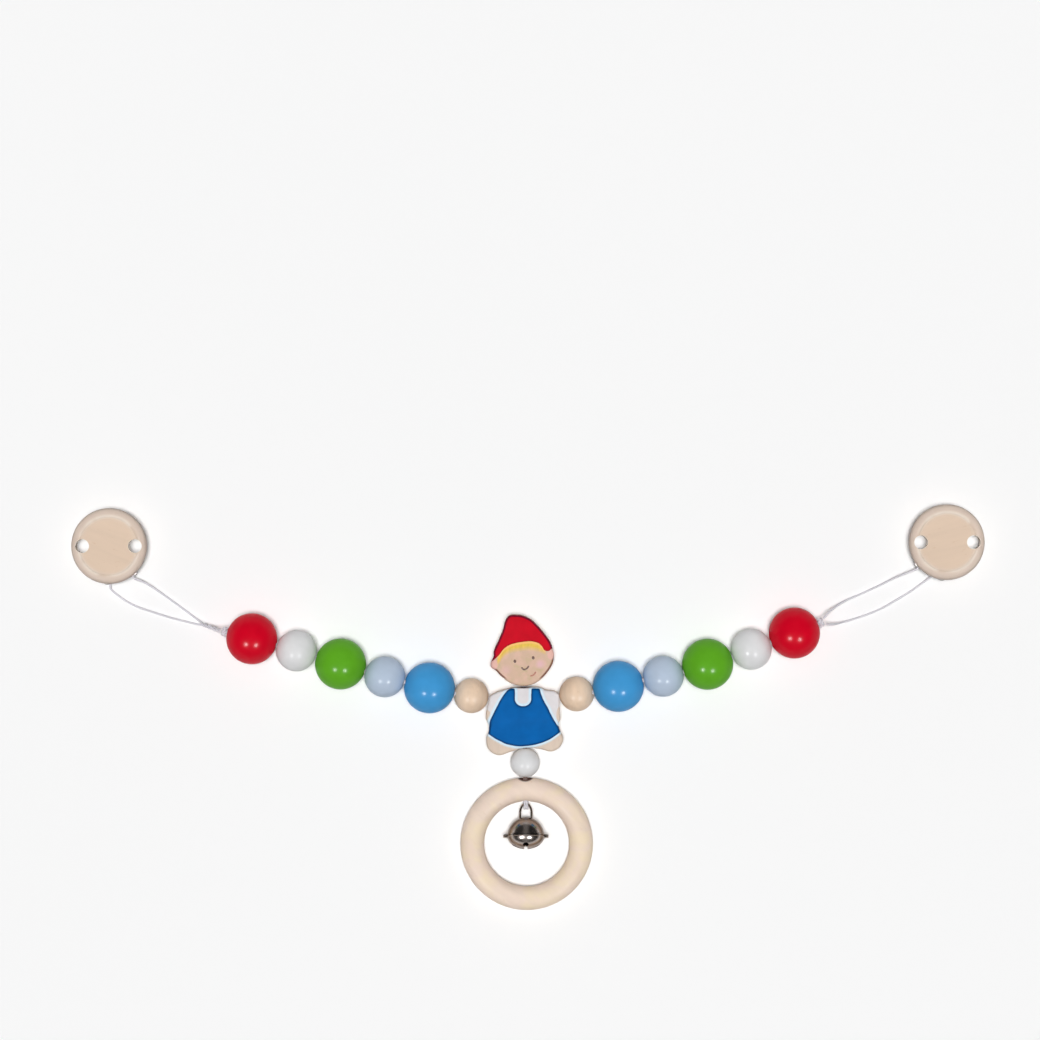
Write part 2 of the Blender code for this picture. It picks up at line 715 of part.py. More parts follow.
def bar_point():
    return Vector((STRAP_REACH, 0, leg_height() - STRAP_BAR_DROP))


def loop_route(side):
    """The loop: off the knot, to the clip, down through its strap loop, round the bar and back."""
    frame, bar = clip_frame(side), bar_point()
    clear = STRAP_WIRE / 2 + SEAT_GAP + CORD_DIAMETER / 2
    first, last = LOOP_CROSSINGS[side]
    toward = 1 if last > first else -1
    inner = bar.x - clear
    local = [
        (bar.x + LOOP_BEND / 2, first, bar.z + clear), (bar.x - LOOP_BEND / 6, first, bar.z + clear),
        (inner, first + toward * LOOP_BEND / 2, bar.z + clear / 2),
        (inner - LOOP_BEND / 10, (first + last) / 2, bar.z),
        (inner, last - toward * LOOP_BEND / 2, bar.z - clear / 2),
        (bar.x - LOOP_BEND / 6, last, bar.z - clear), (bar.x + LOOP_BEND / 2, last, bar.z - clear),
    ]
    places, end, direction = chain(side)
    start = end + direction * (KNOT_LENGTH + SEAT_GAP)
    across = Vector((-direction.y, direction.x, 0)) * SIDES[side]
    route = twist(side, start, across, 1)
    route += [Vector(point) for point in LOOP_OUT[side]]
    route += [frame @ Vector(point) for point in local]
    route += [Vector(point) for point in LOOP_BACK[side]]
    return route + twist(side, start, across, -1)[::-1]


def twist(side, start, across, sign):
    """One of the loop's two strands beside the knot, wound round the other on its way down to the table."""
    run = Vector(TWIST_END[side]) - start
    above = run.cross(across).normalized()
    points = []
    for step in range(TWIST_STEP_COUNT[side] + 1):
        share = step / max(TWIST_STEP_COUNT[side], 1)
        turn = math.radians(TWIST_STEP_DEG * step)
        aside = across * math.cos(turn) + above * math.sin(turn)
        sag = LEVEL_SHARES[0] * share + LEVEL_SHARES[1] * share * share
        place = start + Vector((run.x * share, run.y * share, run.z * sag))
        points.append(place + aside * sign * LOOP_START[side])
    return points


LOOP_START = {"left": 0.00064, "right": 0.0016}
TWIST_END = {"left": (-0.1592, 0.0357, 0.0026), "right": (0.1471, 0.0374, 0.0125)}
TWIST_STEP_COUNT = {"left": 12, "right": 0}
TWIST_STEP_DEG = 60
LEVEL_SHARES = (0.7, 0.3)


def cord_loop(side, carrier):
    parent, start, direction = carrier
    swing = pivot(f"{side}_loop_swing", Matrix.Translation(start), parent)
    piece = tube(f"{side}_loop_cord", smooth_route(loop_route(side), LOOP_SPACING), CORD_DIAMETER)
    finish_piece(piece, material("cord", CLOTH_ROUGHNESS), Matrix.Identity(4), swing)
    return swing


def disc_profile():
    """Rounded rim, and a face that is dished a little inside a soft step."""
    radius, edge = DISC_DIAMETER / 2, DISC_THICKNESS / 2
    top = DISC_THICKNESS - DISC_DISH_DEPTH
    profile = [(0, top), (DISC_DISH_RADIUS, top), (DISC_DISH_RADIUS + DISC_DISH_DEPTH * 2, DISC_THICKNESS)]
    for step in range(DISC_RIM_STEPS + 1):
        angle = math.pi * step / DISC_RIM_STEPS
        inset = edge * DISC_RIM_SHARE * (1 - math.sin(angle))
        profile.append((radius - inset, edge + edge * math.cos(angle)))
    return profile + [(0, 0)]


DISC_RIM_STEPS = 6
DISC_RIM_SHARE = 0.85


def wooden_disc(side, frame, parent):
    piece = turned(f"{side}_clip_disc", disc_profile(), DISC_STEPS)
    base = frame @ Matrix.Translation((0, 0, DISC_BOTTOM))
    for sign in (-1, 1):
        spot = Vector((*DISC_CENTRE[side], DISC_BOTTOM + DISC_THICKNESS / 2))
        spot.x += sign * AIR_HOLE_SPACING / 2
        drill(piece, AIR_HOLE, DISC_THICKNESS + 2 * OVERRUN, Matrix.Translation(spot), 16)
    depth = SCREW_LENGTH + 2 * SEAT_GAP
    blind = frame @ Matrix.Translation((0, 0, DISC_BOTTOM + (depth - OVERRUN) / 2))
    drill(piece, SCREW_SHANK + 2 * SEAT_GAP, depth + OVERRUN, blind, 10)
    finish_piece(piece, material("disc", BARE_WOOD_ROUGHNESS), base, parent)


def plate(side, frame, parent):
    """The sheet metal plate, with a wide rear end for the strap loop and two ears for the lever's pin."""
    half, rear = PLATE_HALF_WIDTH, PLATE_REAR_HALF_WIDTH
    corner = PLATE_CORNER
    right = [
        (-PLATE_JAW, half - corner), (-PLATE_JAW + corner, half), (PLATE_NECK, half),
        (PLATE_NECK + corner / 2, rear), (PLATE_REAR, rear),
    ]
    outline = right + [(x, -y) for x, y in right[::-1]]
    level = plate_height() + PLATE_THICKNESS / 2
    piece = slab(f"{side}_clip_plate", [outline], PLATE_THICKNESS)
    ear_top = plate_height() + PLATE_THICKNESS / 2
    for sign in (-1, 1):
        length = ear_top - HINGE_HEIGHT
        shape = []
        for step in range(EAR_STEPS + 1):
            angle = math.pi * (1 + step / EAR_STEPS)
            shape.append((EAR_HALF_LENGTH * math.cos(angle), EAR_HALF_LENGTH * math.sin(angle)))
        shape = [(-EAR_HALF_LENGTH, length)] + shape + [(EAR_HALF_LENGTH, length)]
        ear = slab(f"{side}_ear", [shape], PLATE_THICKNESS)
        ear.hide_render = True
        ear.display_type = "WIRE"
        CUTTERS.objects.link(ear)
        upright = Matrix.Rotation(math.pi / 2, 4, "X")
        place = Matrix.Translation((HINGE_ALONG, sign * (half - PLATE_THICKNESS / 2), HINGE_HEIGHT))
        put(ear, frame @ place @ upright)
        join(piece, ear, "UNION")
    pin = frame @ hinge_matrix()
    drill(piece, HINGE_PIN + 2 * HINGE_CLEARANCE, 2 * (half + OVERRUN), pin, 10)
    hole = frame @ Matrix.Translation((0, 0, level))
    drill(piece, SCREW_SHANK + 2 * SEAT_GAP, PLATE_THICKNESS + 2 * OVERRUN, hole, 10)
    place = frame @ Matrix.Translation((0, 0, level))
    finish_piece(piece, material("steel", BRUSHED_ROUGHNESS, 1.0), place, parent)


PLATE_CORNER = 0.0015
EAR_STEPS = 6


def hinge_matrix():
    """The lever's pin, along the clip's width."""
    return Matrix.Translation((HINGE_ALONG, 0, HINGE_HEIGHT)) @ Matrix.Rotation(math.pi / 2, 4, "X")


def strap_loop(side, frame, parent):
    bar, leg, corner = bar_point(), leg_height(), STRAP_CORNER
    half = [
        Vector((STRAP_LEG_START, STRAP_HALF_WIDTH, leg)),
        Vector((bar.x - 2 * corner, STRAP_HALF_WIDTH, leg)),
        Vector((bar.x - corner, STRAP_HALF_WIDTH, (leg + bar.z) / 2)),
        Vector((bar.x - corner * STRAP_BOW_SHARE, STRAP_HALF_WIDTH - corner * STRAP_BOW_SHARE, bar.z)),
        Vector((bar.x, STRAP_HALF_WIDTH - corner, bar.z)),
    ]
    other = [Vector((point.x, -point.y, point.z)) for point in half[::-1]]
    piece = tube(f"{side}_clip_strap_loop", half + other, STRAP_WIRE)
    finish_piece(piece, material("steel", BRUSHED_ROUGHNESS, 1.0), frame, parent)


STRAP_BOW_SHARE = 0.3


def lever(side, frame, parent):
    """A channel of bent sheet, whose sides stand up beside the cam and carry the pin."""
    swing = pivot(f"{side}_lever_swing", frame @ hinge_matrix(), parent)
    low = -HINGE_HEIGHT
    outline = [(x * LEVER_NOSE, y * LEVER_NOSE) for x, y in LEVER_NOSE_SHARES]
    outline += [(x * LEVER_NOSE, y * LEVER_FLANGE_TOP) for x, y in LEVER_SHOULDER_SHARES]
    outline += [(LEVER_LENGTH, low + LEVER_SHEET * 2), (LEVER_LENGTH, low), (-LEVER_NOSE / 2, low)]
    piece = slab(f"{side}_clip_lever", [outline], 2 * LEVER_HALF_WIDTH)
    inside = 2 * (LEVER_HALF_WIDTH - LEVER_SHEET)
    height = HINGE_HEIGHT + LEVER_NOSE + OVERRUN
    middle_x = HINGE_ALONG + (LEVER_LENGTH - LEVER_NOSE) / 2
    hollow = frame @ Matrix.Translation((middle_x, 0, LEVER_SHEET + height / 2))
    mill(piece, (LEVER_LENGTH + LEVER_NOSE + 2 * OVERRUN, inside, height), hollow)
    pin = frame @ hinge_matrix()
    drill(piece, HINGE_PIN + 2 * HINGE_CLEARANCE, 2 * (LEVER_HALF_WIDTH + OVERRUN), pin, 10)
    finish_piece(piece, material("steel", BRUSHED_ROUGHNESS, 1.0), pin, swing)
    toothed_cam(side, inside - 2 * SEAT_GAP, pin, swing)


LEVER_NOSE_SHARES = ((-0.85, -0.74), (-1, 0), (-0.7, 0.7))
LEVER_SHOULDER_SHARES = ((0, 1), (1.5, 0.8))


def toothed_cam(side, width, pin, swing):
    """The plastic pad on the lever's pin, whose teeth press the cloth against the plate."""
    outline = [(x * CAM_RADIUS, y * CAM_RADIUS) for x, y in CAM_OUTLINE_SHARES]
    pitch = CAM_LENGTH / CAM_TOOTH_COUNT
    for tooth in range(CAM_TOOTH_COUNT):
        outline += [(pitch * (tooth + 1 / 2), CAM_RADIUS - CAM_TOOTH), (pitch * (tooth + 1), CAM_RADIUS)]
    floor = LEVER_SHEET + SEAT_GAP - HINGE_HEIGHT
    outline += [(CAM_LENGTH, floor), (-CAM_RADIUS / 2, floor)]
    cam = slab(f"{side}_clip_cam", [outline], width)
    drill(cam, HINGE_PIN + 2 * HINGE_CLEARANCE, 2 * LEVER_HALF_WIDTH, pin, 10)
    finish_piece(cam, material("plastic", BARE_WOOD_ROUGHNESS), pin, swing)


CAM_OUTLINE_SHARES = ((-0.62, -0.6), (-0.82, 0), (-0.68, 0.6), (-0.36, 0.88), (0, 1))


def hinge_pin(side, frame, parent):
    shaft, head_radius = HINGE_PIN / 2, PIN_HEAD / 2
    reach = PLATE_HALF_WIDTH + SEAT_GAP
    end = reach + PIN_HEAD_LENGTH
    profile = [(0, end), (head_radius, end), (head_radius, reach), (shaft, reach),
               (shaft, -reach), (head_radius, -reach), (head_radius, -end), (0, -end)]
    piece = turned(f"{side}_clip_pin", profile, 10)
    finish_piece(piece, material("steel", BRUSHED_ROUGHNESS, 1.0), frame @ hinge_matrix(), parent)


def screw(side, frame, parent):
    top = SCREW_LENGTH
    head_top = plate_height() - SEAT_GAP - DISC_BOTTOM
    head_low = head_top - SCREW_HEAD_HEIGHT
    profile = [(0, top), (SCREW_SHANK / 2, top), (SCREW_SHANK / 2, head_top), (SCREW_HEAD / 2, head_top),
               (SCREW_HEAD / 2 * SCREW_CONE_SHARE, head_low), (0, head_low)]
    piece = turned(f"{side}_clip_screw", profile, 10)
    seat = frame @ Matrix.Translation((0, 0, DISC_BOTTOM))
    finish_piece(piece, material("steel", BRUSHED_ROUGHNESS, 1.0), seat, parent)


SCREW_CONE_SHARE = 0.7


def clip(side, carrier):
    frame = clip_frame(side)
    bar = frame @ Matrix.Translation(bar_point())
    parent = pivot(f"{side}_clip_swing", bar, carrier)
    wooden_disc(side, frame, parent)
    plate(side, frame, parent)
    strap_loop(side, frame, parent)
    lever(side, frame, parent)
    hinge_pin(side, frame, parent)
    screw(side, frame, parent)


def main():
    root = torso()
    head(root)
    pendant(root)
    for side in SIDES:
        clip(side, cord_loop(side, bead_chain(side, root)))


clear_scene()
PARTS = collection("pram_chain_toy")
CUTTERS = collection("cutters")
main()
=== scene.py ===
"""The finished pram chain: lacquered beads on elastic cord, the painted figure, the ring with its bell and
the two clips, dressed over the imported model. Laid out as an add-on: sizes and colours are properties, and
each group of pieces has an operator of its own.
"""
import json
import math

import bmesh
import bpy
from bpy.props import FloatProperty, FloatVectorProperty, PointerProperty
from mathutils import Matrix, Vector


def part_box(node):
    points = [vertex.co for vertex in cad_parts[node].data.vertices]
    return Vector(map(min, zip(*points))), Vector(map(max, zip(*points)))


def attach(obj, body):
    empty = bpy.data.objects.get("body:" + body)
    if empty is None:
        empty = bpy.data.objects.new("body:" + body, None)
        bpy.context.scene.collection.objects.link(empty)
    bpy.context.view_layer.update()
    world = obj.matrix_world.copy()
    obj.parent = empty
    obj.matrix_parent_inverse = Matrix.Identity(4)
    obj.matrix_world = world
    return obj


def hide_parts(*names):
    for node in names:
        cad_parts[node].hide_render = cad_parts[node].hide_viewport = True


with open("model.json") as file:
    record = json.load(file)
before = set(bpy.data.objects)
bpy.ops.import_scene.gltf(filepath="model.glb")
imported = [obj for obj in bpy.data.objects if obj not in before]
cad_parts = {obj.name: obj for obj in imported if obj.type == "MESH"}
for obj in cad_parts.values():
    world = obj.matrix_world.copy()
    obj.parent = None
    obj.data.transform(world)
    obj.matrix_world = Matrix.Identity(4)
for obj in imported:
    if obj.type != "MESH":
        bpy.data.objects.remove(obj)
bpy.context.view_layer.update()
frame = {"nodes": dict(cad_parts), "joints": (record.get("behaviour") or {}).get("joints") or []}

bl_info = {
    "name": "Pram chain",
    "version": (1, 0, 0),
    "blender": (4, 5, 0),
    "location": "3D View > Sidebar > Pram chain",
    "description": "Dresses the packed pram chain: beads, cord, figure, ring, bell and clips",
    "category": "Object",
}

JOINTS = {joint["name"]: joint for joint in frame["joints"]}
SIDES = {"left": -1, "right": 1}
BEADS = ("natural", "blue", "light_blue", "green", "white", "red")

# The photograph's frame: one pixel is this long on the table, and the figure's bores cross at this pixel
PIXEL = 0.000489
CROSSING_PX = (525, 697)
PHOTO_PX = 1040

# Sun directions read from the two bright spots on every bead
LAMP_DIRECTIONS = ((-0.383, -0.402, 0.832), (0.361, -0.466, 0.808))
FILL_DIRECTION = (0, -0.012, 1)

# Corners closer than this are one, and edges sharper than these angles stay sharp
WELD = 0.000005
SAWN_SHARP_DEG = 32
PRESSED_SHARP_DEG = 50


def paint(red, green, blue):
    """A colour given as it shows, in shares of 255, as the shader wants it."""
    channels = []
    for value in (red, green, blue):
        share = value / 255
        channels.append(share / 12.92 if share <= 0.04045 else ((share + 0.055) / 1.055) ** 2.4)
    return tuple(channels)


def colour(name, description, shown):
    """A colour of a finish, given as it shows."""
    return FloatVectorProperty(name=name, description=description, subtype="COLOR", size=3,
                               min=0, max=1, default=paint(*shown))


def length(name, description, default):
    """A size in metres."""
    return FloatProperty(name=name, description=description, default=default, min=0, precision=5,
                         subtype="DISTANCE", unit="LENGTH")


class BeadProperties(bpy.types.PropertyGroup):
    """Sizes and lacquers of the beads."""

    bore: length("Bore", "Width of the hole through each bead", 0.0035)
    mouth: length("Mouth", "Width of the flat round each end of the hole", 0.0044)
    red: colour("Red", "Lacquer of the end beads", (211, 6, 36))
    white: colour("White", "Lacquer of the white beads", (226, 226, 227))
    green: colour("Green", "Lacquer of the green beads", (95, 170, 36))
    light_blue: colour("Light blue", "Lacquer of the pale blue beads", (185, 200, 219))
    blue: colour("Blue", "Lacquer of the blue beads", (68, 154, 214))
    natural: colour("Natural", "Oiled wood of the beads beside the figure", (238, 210, 183))


class CordProperties(bpy.types.PropertyGroup):
    """The elastic cord."""

    diameter: length("Diameter", "Thickness of one strand", 0.0010)
    pitch: length("Pitch", "Distance between the two strands in a bead", 0.0011)
    spacing: length("Spacing", "Distance between the points of a route", 0.0009)
    white: colour("White", "Colour of the braided cover", (218, 215, 222))
    # Painted shade: the cord's grey near the clips stands for the shade of the raised discs
    grey: colour("Grey", "Colour of the cover where the clips have soiled it", (122, 122, 126))
    # Painted shade: the cord's brown in the figure's neck, the small bead and the ring's bore
    wear_and_shade: colour("Worn", "Colour of the cord where the bore has rubbed it", (118, 92, 82))


class FigureProperties(bpy.types.PropertyGroup):
    """The flat wooden figure."""

    edge: length("Edge", "Radius of the sawn and sanded edges", 0.0014)
    wood: colour("Wood", "Bare wood of the hands, feet and sides", (222, 203, 186))
    shirt: colour("Shirt", "White paint of the sleeves and collar", (226, 222, 224))
    dress: colour("Dress", "Blue paint of the dress", (0, 97, 172))
    line: colour("Line", "Pale line round the dress", (212, 235, 250))
    face: colour("Face", "Skin paint over the wood", (219, 186, 163))
    sallow: colour("Sallow", "Yellower patches of the skin paint", (204, 182, 146))
    rosy: colour("Rosy", "Pinker patches of the skin paint", (232, 192, 178))
    cheek: colour("Cheek", "Pink of the cheeks", (230, 188, 190))
    hat: colour("Hat", "Red paint of the hat", (208, 12, 36))
    # Painted shade: the hat's red darkened over its rounded edge
    hat_edge_shade: colour("Hat edge", "The hat's paint where it thins over the rounded edge", (120, 16, 44))
    ear: colour("Ear", "Pink of the ears", (238, 188, 178))
    # Painted shade: brown on the rounded edge at the face's sides
    side_shade: colour("Singed edge", "Wood browned by the saw at the face's sides", (122, 72, 60))
    # Painted shade: the dark bore mouth and gap at the neck
    bore: colour("Bore", "Dark mouth of the bore at the neck", (62, 40, 36))
    glow: colour("Hair under the brim", "Orange yellow of the hair beside the hat", (255, 202, 124))
    hair: colour("Hair", "Yellow paint of the fringe", (238, 199, 92))
    feature: colour("Feature", "Brown of the eyes and nose", (104, 72, 62))
    lip: colour("Lip", "Pale red of the mouth", (190, 126, 108))


class PendantProperties(bpy.types.PropertyGroup):
    """The ring and the bell."""

    ring_width: length("Ring", "Outside width of the grasping ring", 0.065)
    ring_section: length("Ring thickness", "Thickness of the ring", 0.0117)
    ring_bore: length("Ring bore", "Width of the hole through the ring", 0.0048)
    ring_wood: colour("Ring wood", "Bare pale wood of the ring", (242, 221, 204))
    ring_yellow: colour("Yellow streaks", "Yellower streaks of the ring's wood", (243, 224, 192))
    ring_pink: colour("Pink streaks", "Pinker streaks of the ring's wood", (238, 214, 200))
    # The bore mouth's brown is partly the drill's and partly painted shade of the gap under the small bead
    bore_scorch_and_shade: colour("Scorched bore", "Wood browned by the drill at the ring's bore", (96, 70, 62))
    bell_radius: length("Bell radius", "Radius of the bell's shells", 0.00905)
    bell_upper: length("Upper shell", "Height of the shell with the eye", 0.0093)
    bell_lower: length("Lower shell", "Height of the slotted shell", 0.0062)
    eye_reach: length("Eye reach", "From the seam to the middle of the wire's bend", 0.0160)
    bell_flange: length("Bell flange", "Radius of the crimped edge", 0.0094)
    bell_ear: length("Bell ear", "Reach of the two ears of the crimped edge", 0.0111)
    eye_rise: length("Eye rise", "Height of the bend of the wire eye", 0.0045)
    nickel: colour("Nickel", "Plating of the bell", (172, 162, 156))


class ClipProperties(bpy.types.PropertyGroup):
    """The two clips."""

    disc: length("Disc", "Width of the wooden disc", 0.037)
    disc_thickness: length("Disc thickness", "Thickness of the wooden disc", 0.0076)
    air_hole: length("Air hole", "Width of each hole through the disc", 0.0066)
    air_hole_spacing: length("Air hole spacing", "Distance between the two holes", 0.0258)
    wood: colour("Disc wood", "Bare wood of the discs", (225, 201, 179))
    border: colour("Border", "Greyer wood of the turned border", (216, 201, 191))
    # Painted shade: the outermost wood of the rounded rim darkened
    outline: colour("Outline", "Browned outermost wood of the border", (142, 124, 116))
    # Painted highlight on the dish's edge, and painted light on the walls of the air holes
    polished: colour("Polished edge", "The dish's edge, polished by turning", (243, 232, 220))
    steel: colour("Steel", "Plated sheet and wire of the clip", (168, 165, 163))
    plastic: colour("Plastic", "Toothed pad in the jaw", (232, 232, 228))


class StageProperties(bpy.types.PropertyGroup):
    """The table, the light and the camera."""

    camera_height: length("Camera height", "Height of the camera over the beads", 2.2)
    table: colour("Table", "Colour of the white table", (251, 251, 251))
    table_width: length("Table width", "Width of the white table", 24.0)
    lamp: FloatProperty(name="Lamps", description="Strength of each lamp seen in the gloss",
                        default=2.9, min=0)
    lamp_angle: FloatProperty(name="Lamp angle", description="How wide each lamp looks from the table",
                              default=math.radians(12), min=0, subtype="ANGLE", unit="ROTATION")
    fill: FloatProperty(name="Fill", description="Strength of the soft light from above",
                        default=2.93, min=0)
    fill_angle: FloatProperty(name="Fill angle", description="How wide the soft light looks from the table",
                              default=math.radians(15), min=0, subtype="ANGLE", unit="ROTATION")


# Meshes

def mesh_piece(name, corners, faces, smooth=True):
    """A new piece from its corners and faces."""
    mesh = bpy.data.meshes.new(name)
    mesh.from_pydata(corners, [], faces)
    mesh.update()
    piece = bpy.data.objects.new(name, mesh)
    bpy.context.scene.collection.objects.link(piece)
    if smooth:
        mesh.shade_smooth()
    return piece


def evaluated(piece, sharp):
    """Applies a piece's modifiers, drops them and smooths all but the sharp edges."""
    graph = bpy.context.evaluated_depsgraph_get()
    mesh = bpy.data.meshes.new_from_object(piece.evaluated_get(graph))
    piece.modifiers.clear()
    piece.data = mesh
    mesh.shade_smooth()
    mesh.set_sharp_from_angle(angle=math.radians(sharp))
    return piece


def cut_away(piece, cutters, sharp):
    """Takes the cutters' shapes out of a piece, and puts the cutters away."""
    for cutter in cutters:
        cut = piece.modifiers.new("cut", "BOOLEAN")
        cut.operation = "DIFFERENCE"
        cut.solver = "EXACT"
        cut.object = cutter
    bpy.context.view_layer.update()
    evaluated(piece, sharp)
    for cutter in cutters:
        bpy.data.objects.remove(cutter)
    return piece


def bored(piece, holes):
    """Drills round holes, each given by its place, direction, width and length."""
    drills = []
    for place, direction, width, reach in holes:
        bpy.ops.mesh.primitive_cylinder_add(vertices=32, radius=width / 2, depth=reach)
        drills.append(bpy.context.object)
        drills[-1].matrix_world = facing(direction, place)
    return cut_away(piece, drills, SAWN_SHARP_DEG)


def lathe(name, profile, steps, sharp):
    """A closed profile of (radius, height) pairs turned round Z."""
    corners, rings = [], []
    for radius, height in profile:
        if radius < 1e-7:
            rings.append([len(corners)] * steps)
            corners.append((0, 0, height))
            continue
        rings.append(list(range(len(corners), len(corners) + steps)))
        for step in range(steps):
            angle = 2 * math.pi * step / steps
            corners.append((radius * math.cos(angle), radius * math.sin(angle), height))
    faces = []
    count = len(rings)
    for index in range(count):
        upper, lower = rings[index], rings[(index + 1) % count]
        for step in range(steps):
            after = (step + 1) % steps
            face = [upper[step], lower[step], lower[after], upper[after]]
            face = [corner for place, corner in enumerate(face) if corner not in face[:place]]
            if len(face) > 2:
                faces.append(face)
    piece = mesh_piece(name, corners, faces)
    outward(piece)
    piece.data.set_sharp_from_angle(angle=math.radians(sharp))
    return piece


def outward(piece):
    """Turns all faces of a closed piece outwards."""
    shape = bmesh.new()
    shape.from_mesh(piece.data)
    bmesh.ops.recalc_face_normals(shape, faces=shape.faces)
    shape.to_mesh(piece.data)
    shape.free()


def strand(name, routes, diameter, sides=14):
    """Round strands along routes of points, with domed ends and coordinates along and round them."""
    corners, faces, along = [], [], []
    for route in routes:
        strand_rings(route, diameter, sides, corners, faces, along)
    piece = mesh_piece(name, corners, faces)
    layer = piece.data.uv_layers.new(name="along")
    for loop in piece.data.loops:
        layer.data[loop.index].uv = along[loop.vertex_index]
    return piece


def strand_rings(route, diameter, sides, corners, faces, along):
    """Adds one strand's rings of corners and its faces to the lists."""
    radius = diameter / 2
    route = [Vector(point) for point in route]
    tangents = []
    for index in range(len(route)):
        before, after = route[max(index - 1, 0)], route[min(index + 1, len(route) - 1)]
        tangents.append((after - before).normalized())
    side = tangents[0].orthogonal().normalized()
    stations = []
    reach = 0
    for index, (point, tangent) in enumerate(zip(route, tangents)):
        side = (side - tangent * side.dot(tangent)).normalized()
        reach += (point - route[index - 1]).length if index else 0
        stations.append((point, tangent, side.copy(), radius, reach))
    first, last = stations[0], stations[-1]
    dome = [(share, math.sqrt(1 - share ** 2)) for share in (0.95, 0.8, 0.5)]
    start = [(first[0] - first[1] * radius * out, first[1], first[2], radius * width, -radius * out)
             for out, width in dome]
    close = [(last[0] + last[1] * radius * out, last[1], last[2], radius * width, reach + radius * out)
             for out, width in reversed(dome)]
    base = len(corners)
    stations = start + stations + close
    for point, tangent, sideways, width, distance in stations:
        other = tangent.cross(sideways)
        for step in range(sides):
            angle = 2 * math.pi * step / sides
            corners.append(point + (sideways * math.cos(angle) + other * math.sin(angle)) * width)
            along.append((step / sides, distance / diameter))
    for row in range(len(stations) - 1):
        for step in range(sides):
            after = (step + 1) % sides
            low, high = base + row * sides, base + (row + 1) * sides
            faces.append((low + step, low + after, high + after, high + step))
    faces.append(tuple(base + step for step in reversed(range(sides))))
    faces.append(tuple(len(corners) - sides + step for step in range(sides)))


def between(before, here, after, beyond, share):
    """A point on the smooth curve from here to after."""
    swing = (after - before) * share
    bend = (2 * before - 5 * here + 4 * after - beyond) * share ** 2
    fade = (3 * here - before - 3 * after + beyond) * share ** 3
    return here + (swing + bend + fade) / 2


def smooth_route(points, spacing):
    """A smooth open route through its points, with a point about every spacing."""
    points = [Vector(point) for point in points]
    ends = [points[0] * 2 - points[1]] + points + [points[-1] * 2 - points[-2]]
    fine = []
    for index in range(1, len(ends) - 2):
        fine += [between(*ends[index - 1:index + 3], cut / 24) for cut in range(24)]
    fine.append(points[-1])
    whole = sum((b - a).length for a, b in zip(fine, fine[1:]))
    count = round(whole / spacing)
    route, run, reached = [fine[0]], 0, 1
    for a, b in zip(fine, fine[1:]):
        step = (b - a).length
        while reached < count and run + step >= whole * reached / count:
            route.append(a.lerp(b, (whole * reached / count - run) / step))
            reached += 1
        run += step
    return route + [fine[-1]]


def smooth_ring(points, cuts):
    """A closed outline led smoothly through its points."""
    points = [Vector(point) for point in points]
    ring = []
    for index in range(len(points)):
        four = [points[(index + step) % len(points)] for step in (-1, 0, 1, 2)]
        ring += [between(*four, cut / cuts) for cut in range(cuts)]
    return ring


def facing(direction, point):
    """The matrix whose Z runs along a direction and whose X stays level."""
    return Matrix.Translation(point) @ Vector(direction).to_track_quat("Z", "Y").to_matrix().to_4x4()


def joint_place(name):
    """Where a joint sits and the direction of its axis."""
    joint = JOINTS[name]
    return Vector(joint["pos_m"]), Vector(joint["axis"])


def settle(piece, matrix, body, finish, slot, *nodes):
    """Puts a finished piece in its place, on its body and over the CAD pieces that it stands for."""
    piece.matrix_world = matrix
    piece.data.materials.clear()
    piece.data.materials.append(finish)
    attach(piece, body)
    if nodes:
        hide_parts(*nodes)
    return piece


def softened(node, edge, finish, slot, body, segments=2):
    """A CAD sheet piece with its edges broken as the tool leaves them."""
    source = frame["nodes"][node]
    piece = bpy.data.objects.new("bright_" + node, source.data.copy())
    bpy.context.scene.collection.objects.link(piece)
    step = piece.modifiers.new("broken edges", "BEVEL")
    step.width = edge
    step.segments = segments
    step.limit_method = "ANGLE"
    step.angle_limit = math.radians(40)
    evaluated(piece, PRESSED_SHARP_DEG)
    return settle(piece, Matrix.Identity(4), body, finish, slot, node)


# Finishes: the span that a noise pattern mostly keeps to, the tint of the wood's flecks, and the threads
# round the cord's cover with their turns along it
NOISE_SPAN = (0.3, 0.7)
FLECK_TINT = (0.84, 0.74, 0.62)
BRAID_THREADS = 4
BRAID_TURNS = 1.6


def add_node(tree, kind, inputs=(), **settings):
    """A node with its settings made, and each input linked or given its value."""
    made = tree.nodes.new(kind)
    for name, value in settings.items():
        setattr(made, name, value)
    for name, value in dict(inputs).items():
        if isinstance(value, bpy.types.NodeSocket):
            tree.links.new(value, made.inputs[name])
        else:
            made.inputs[name].default_value = value
    return made


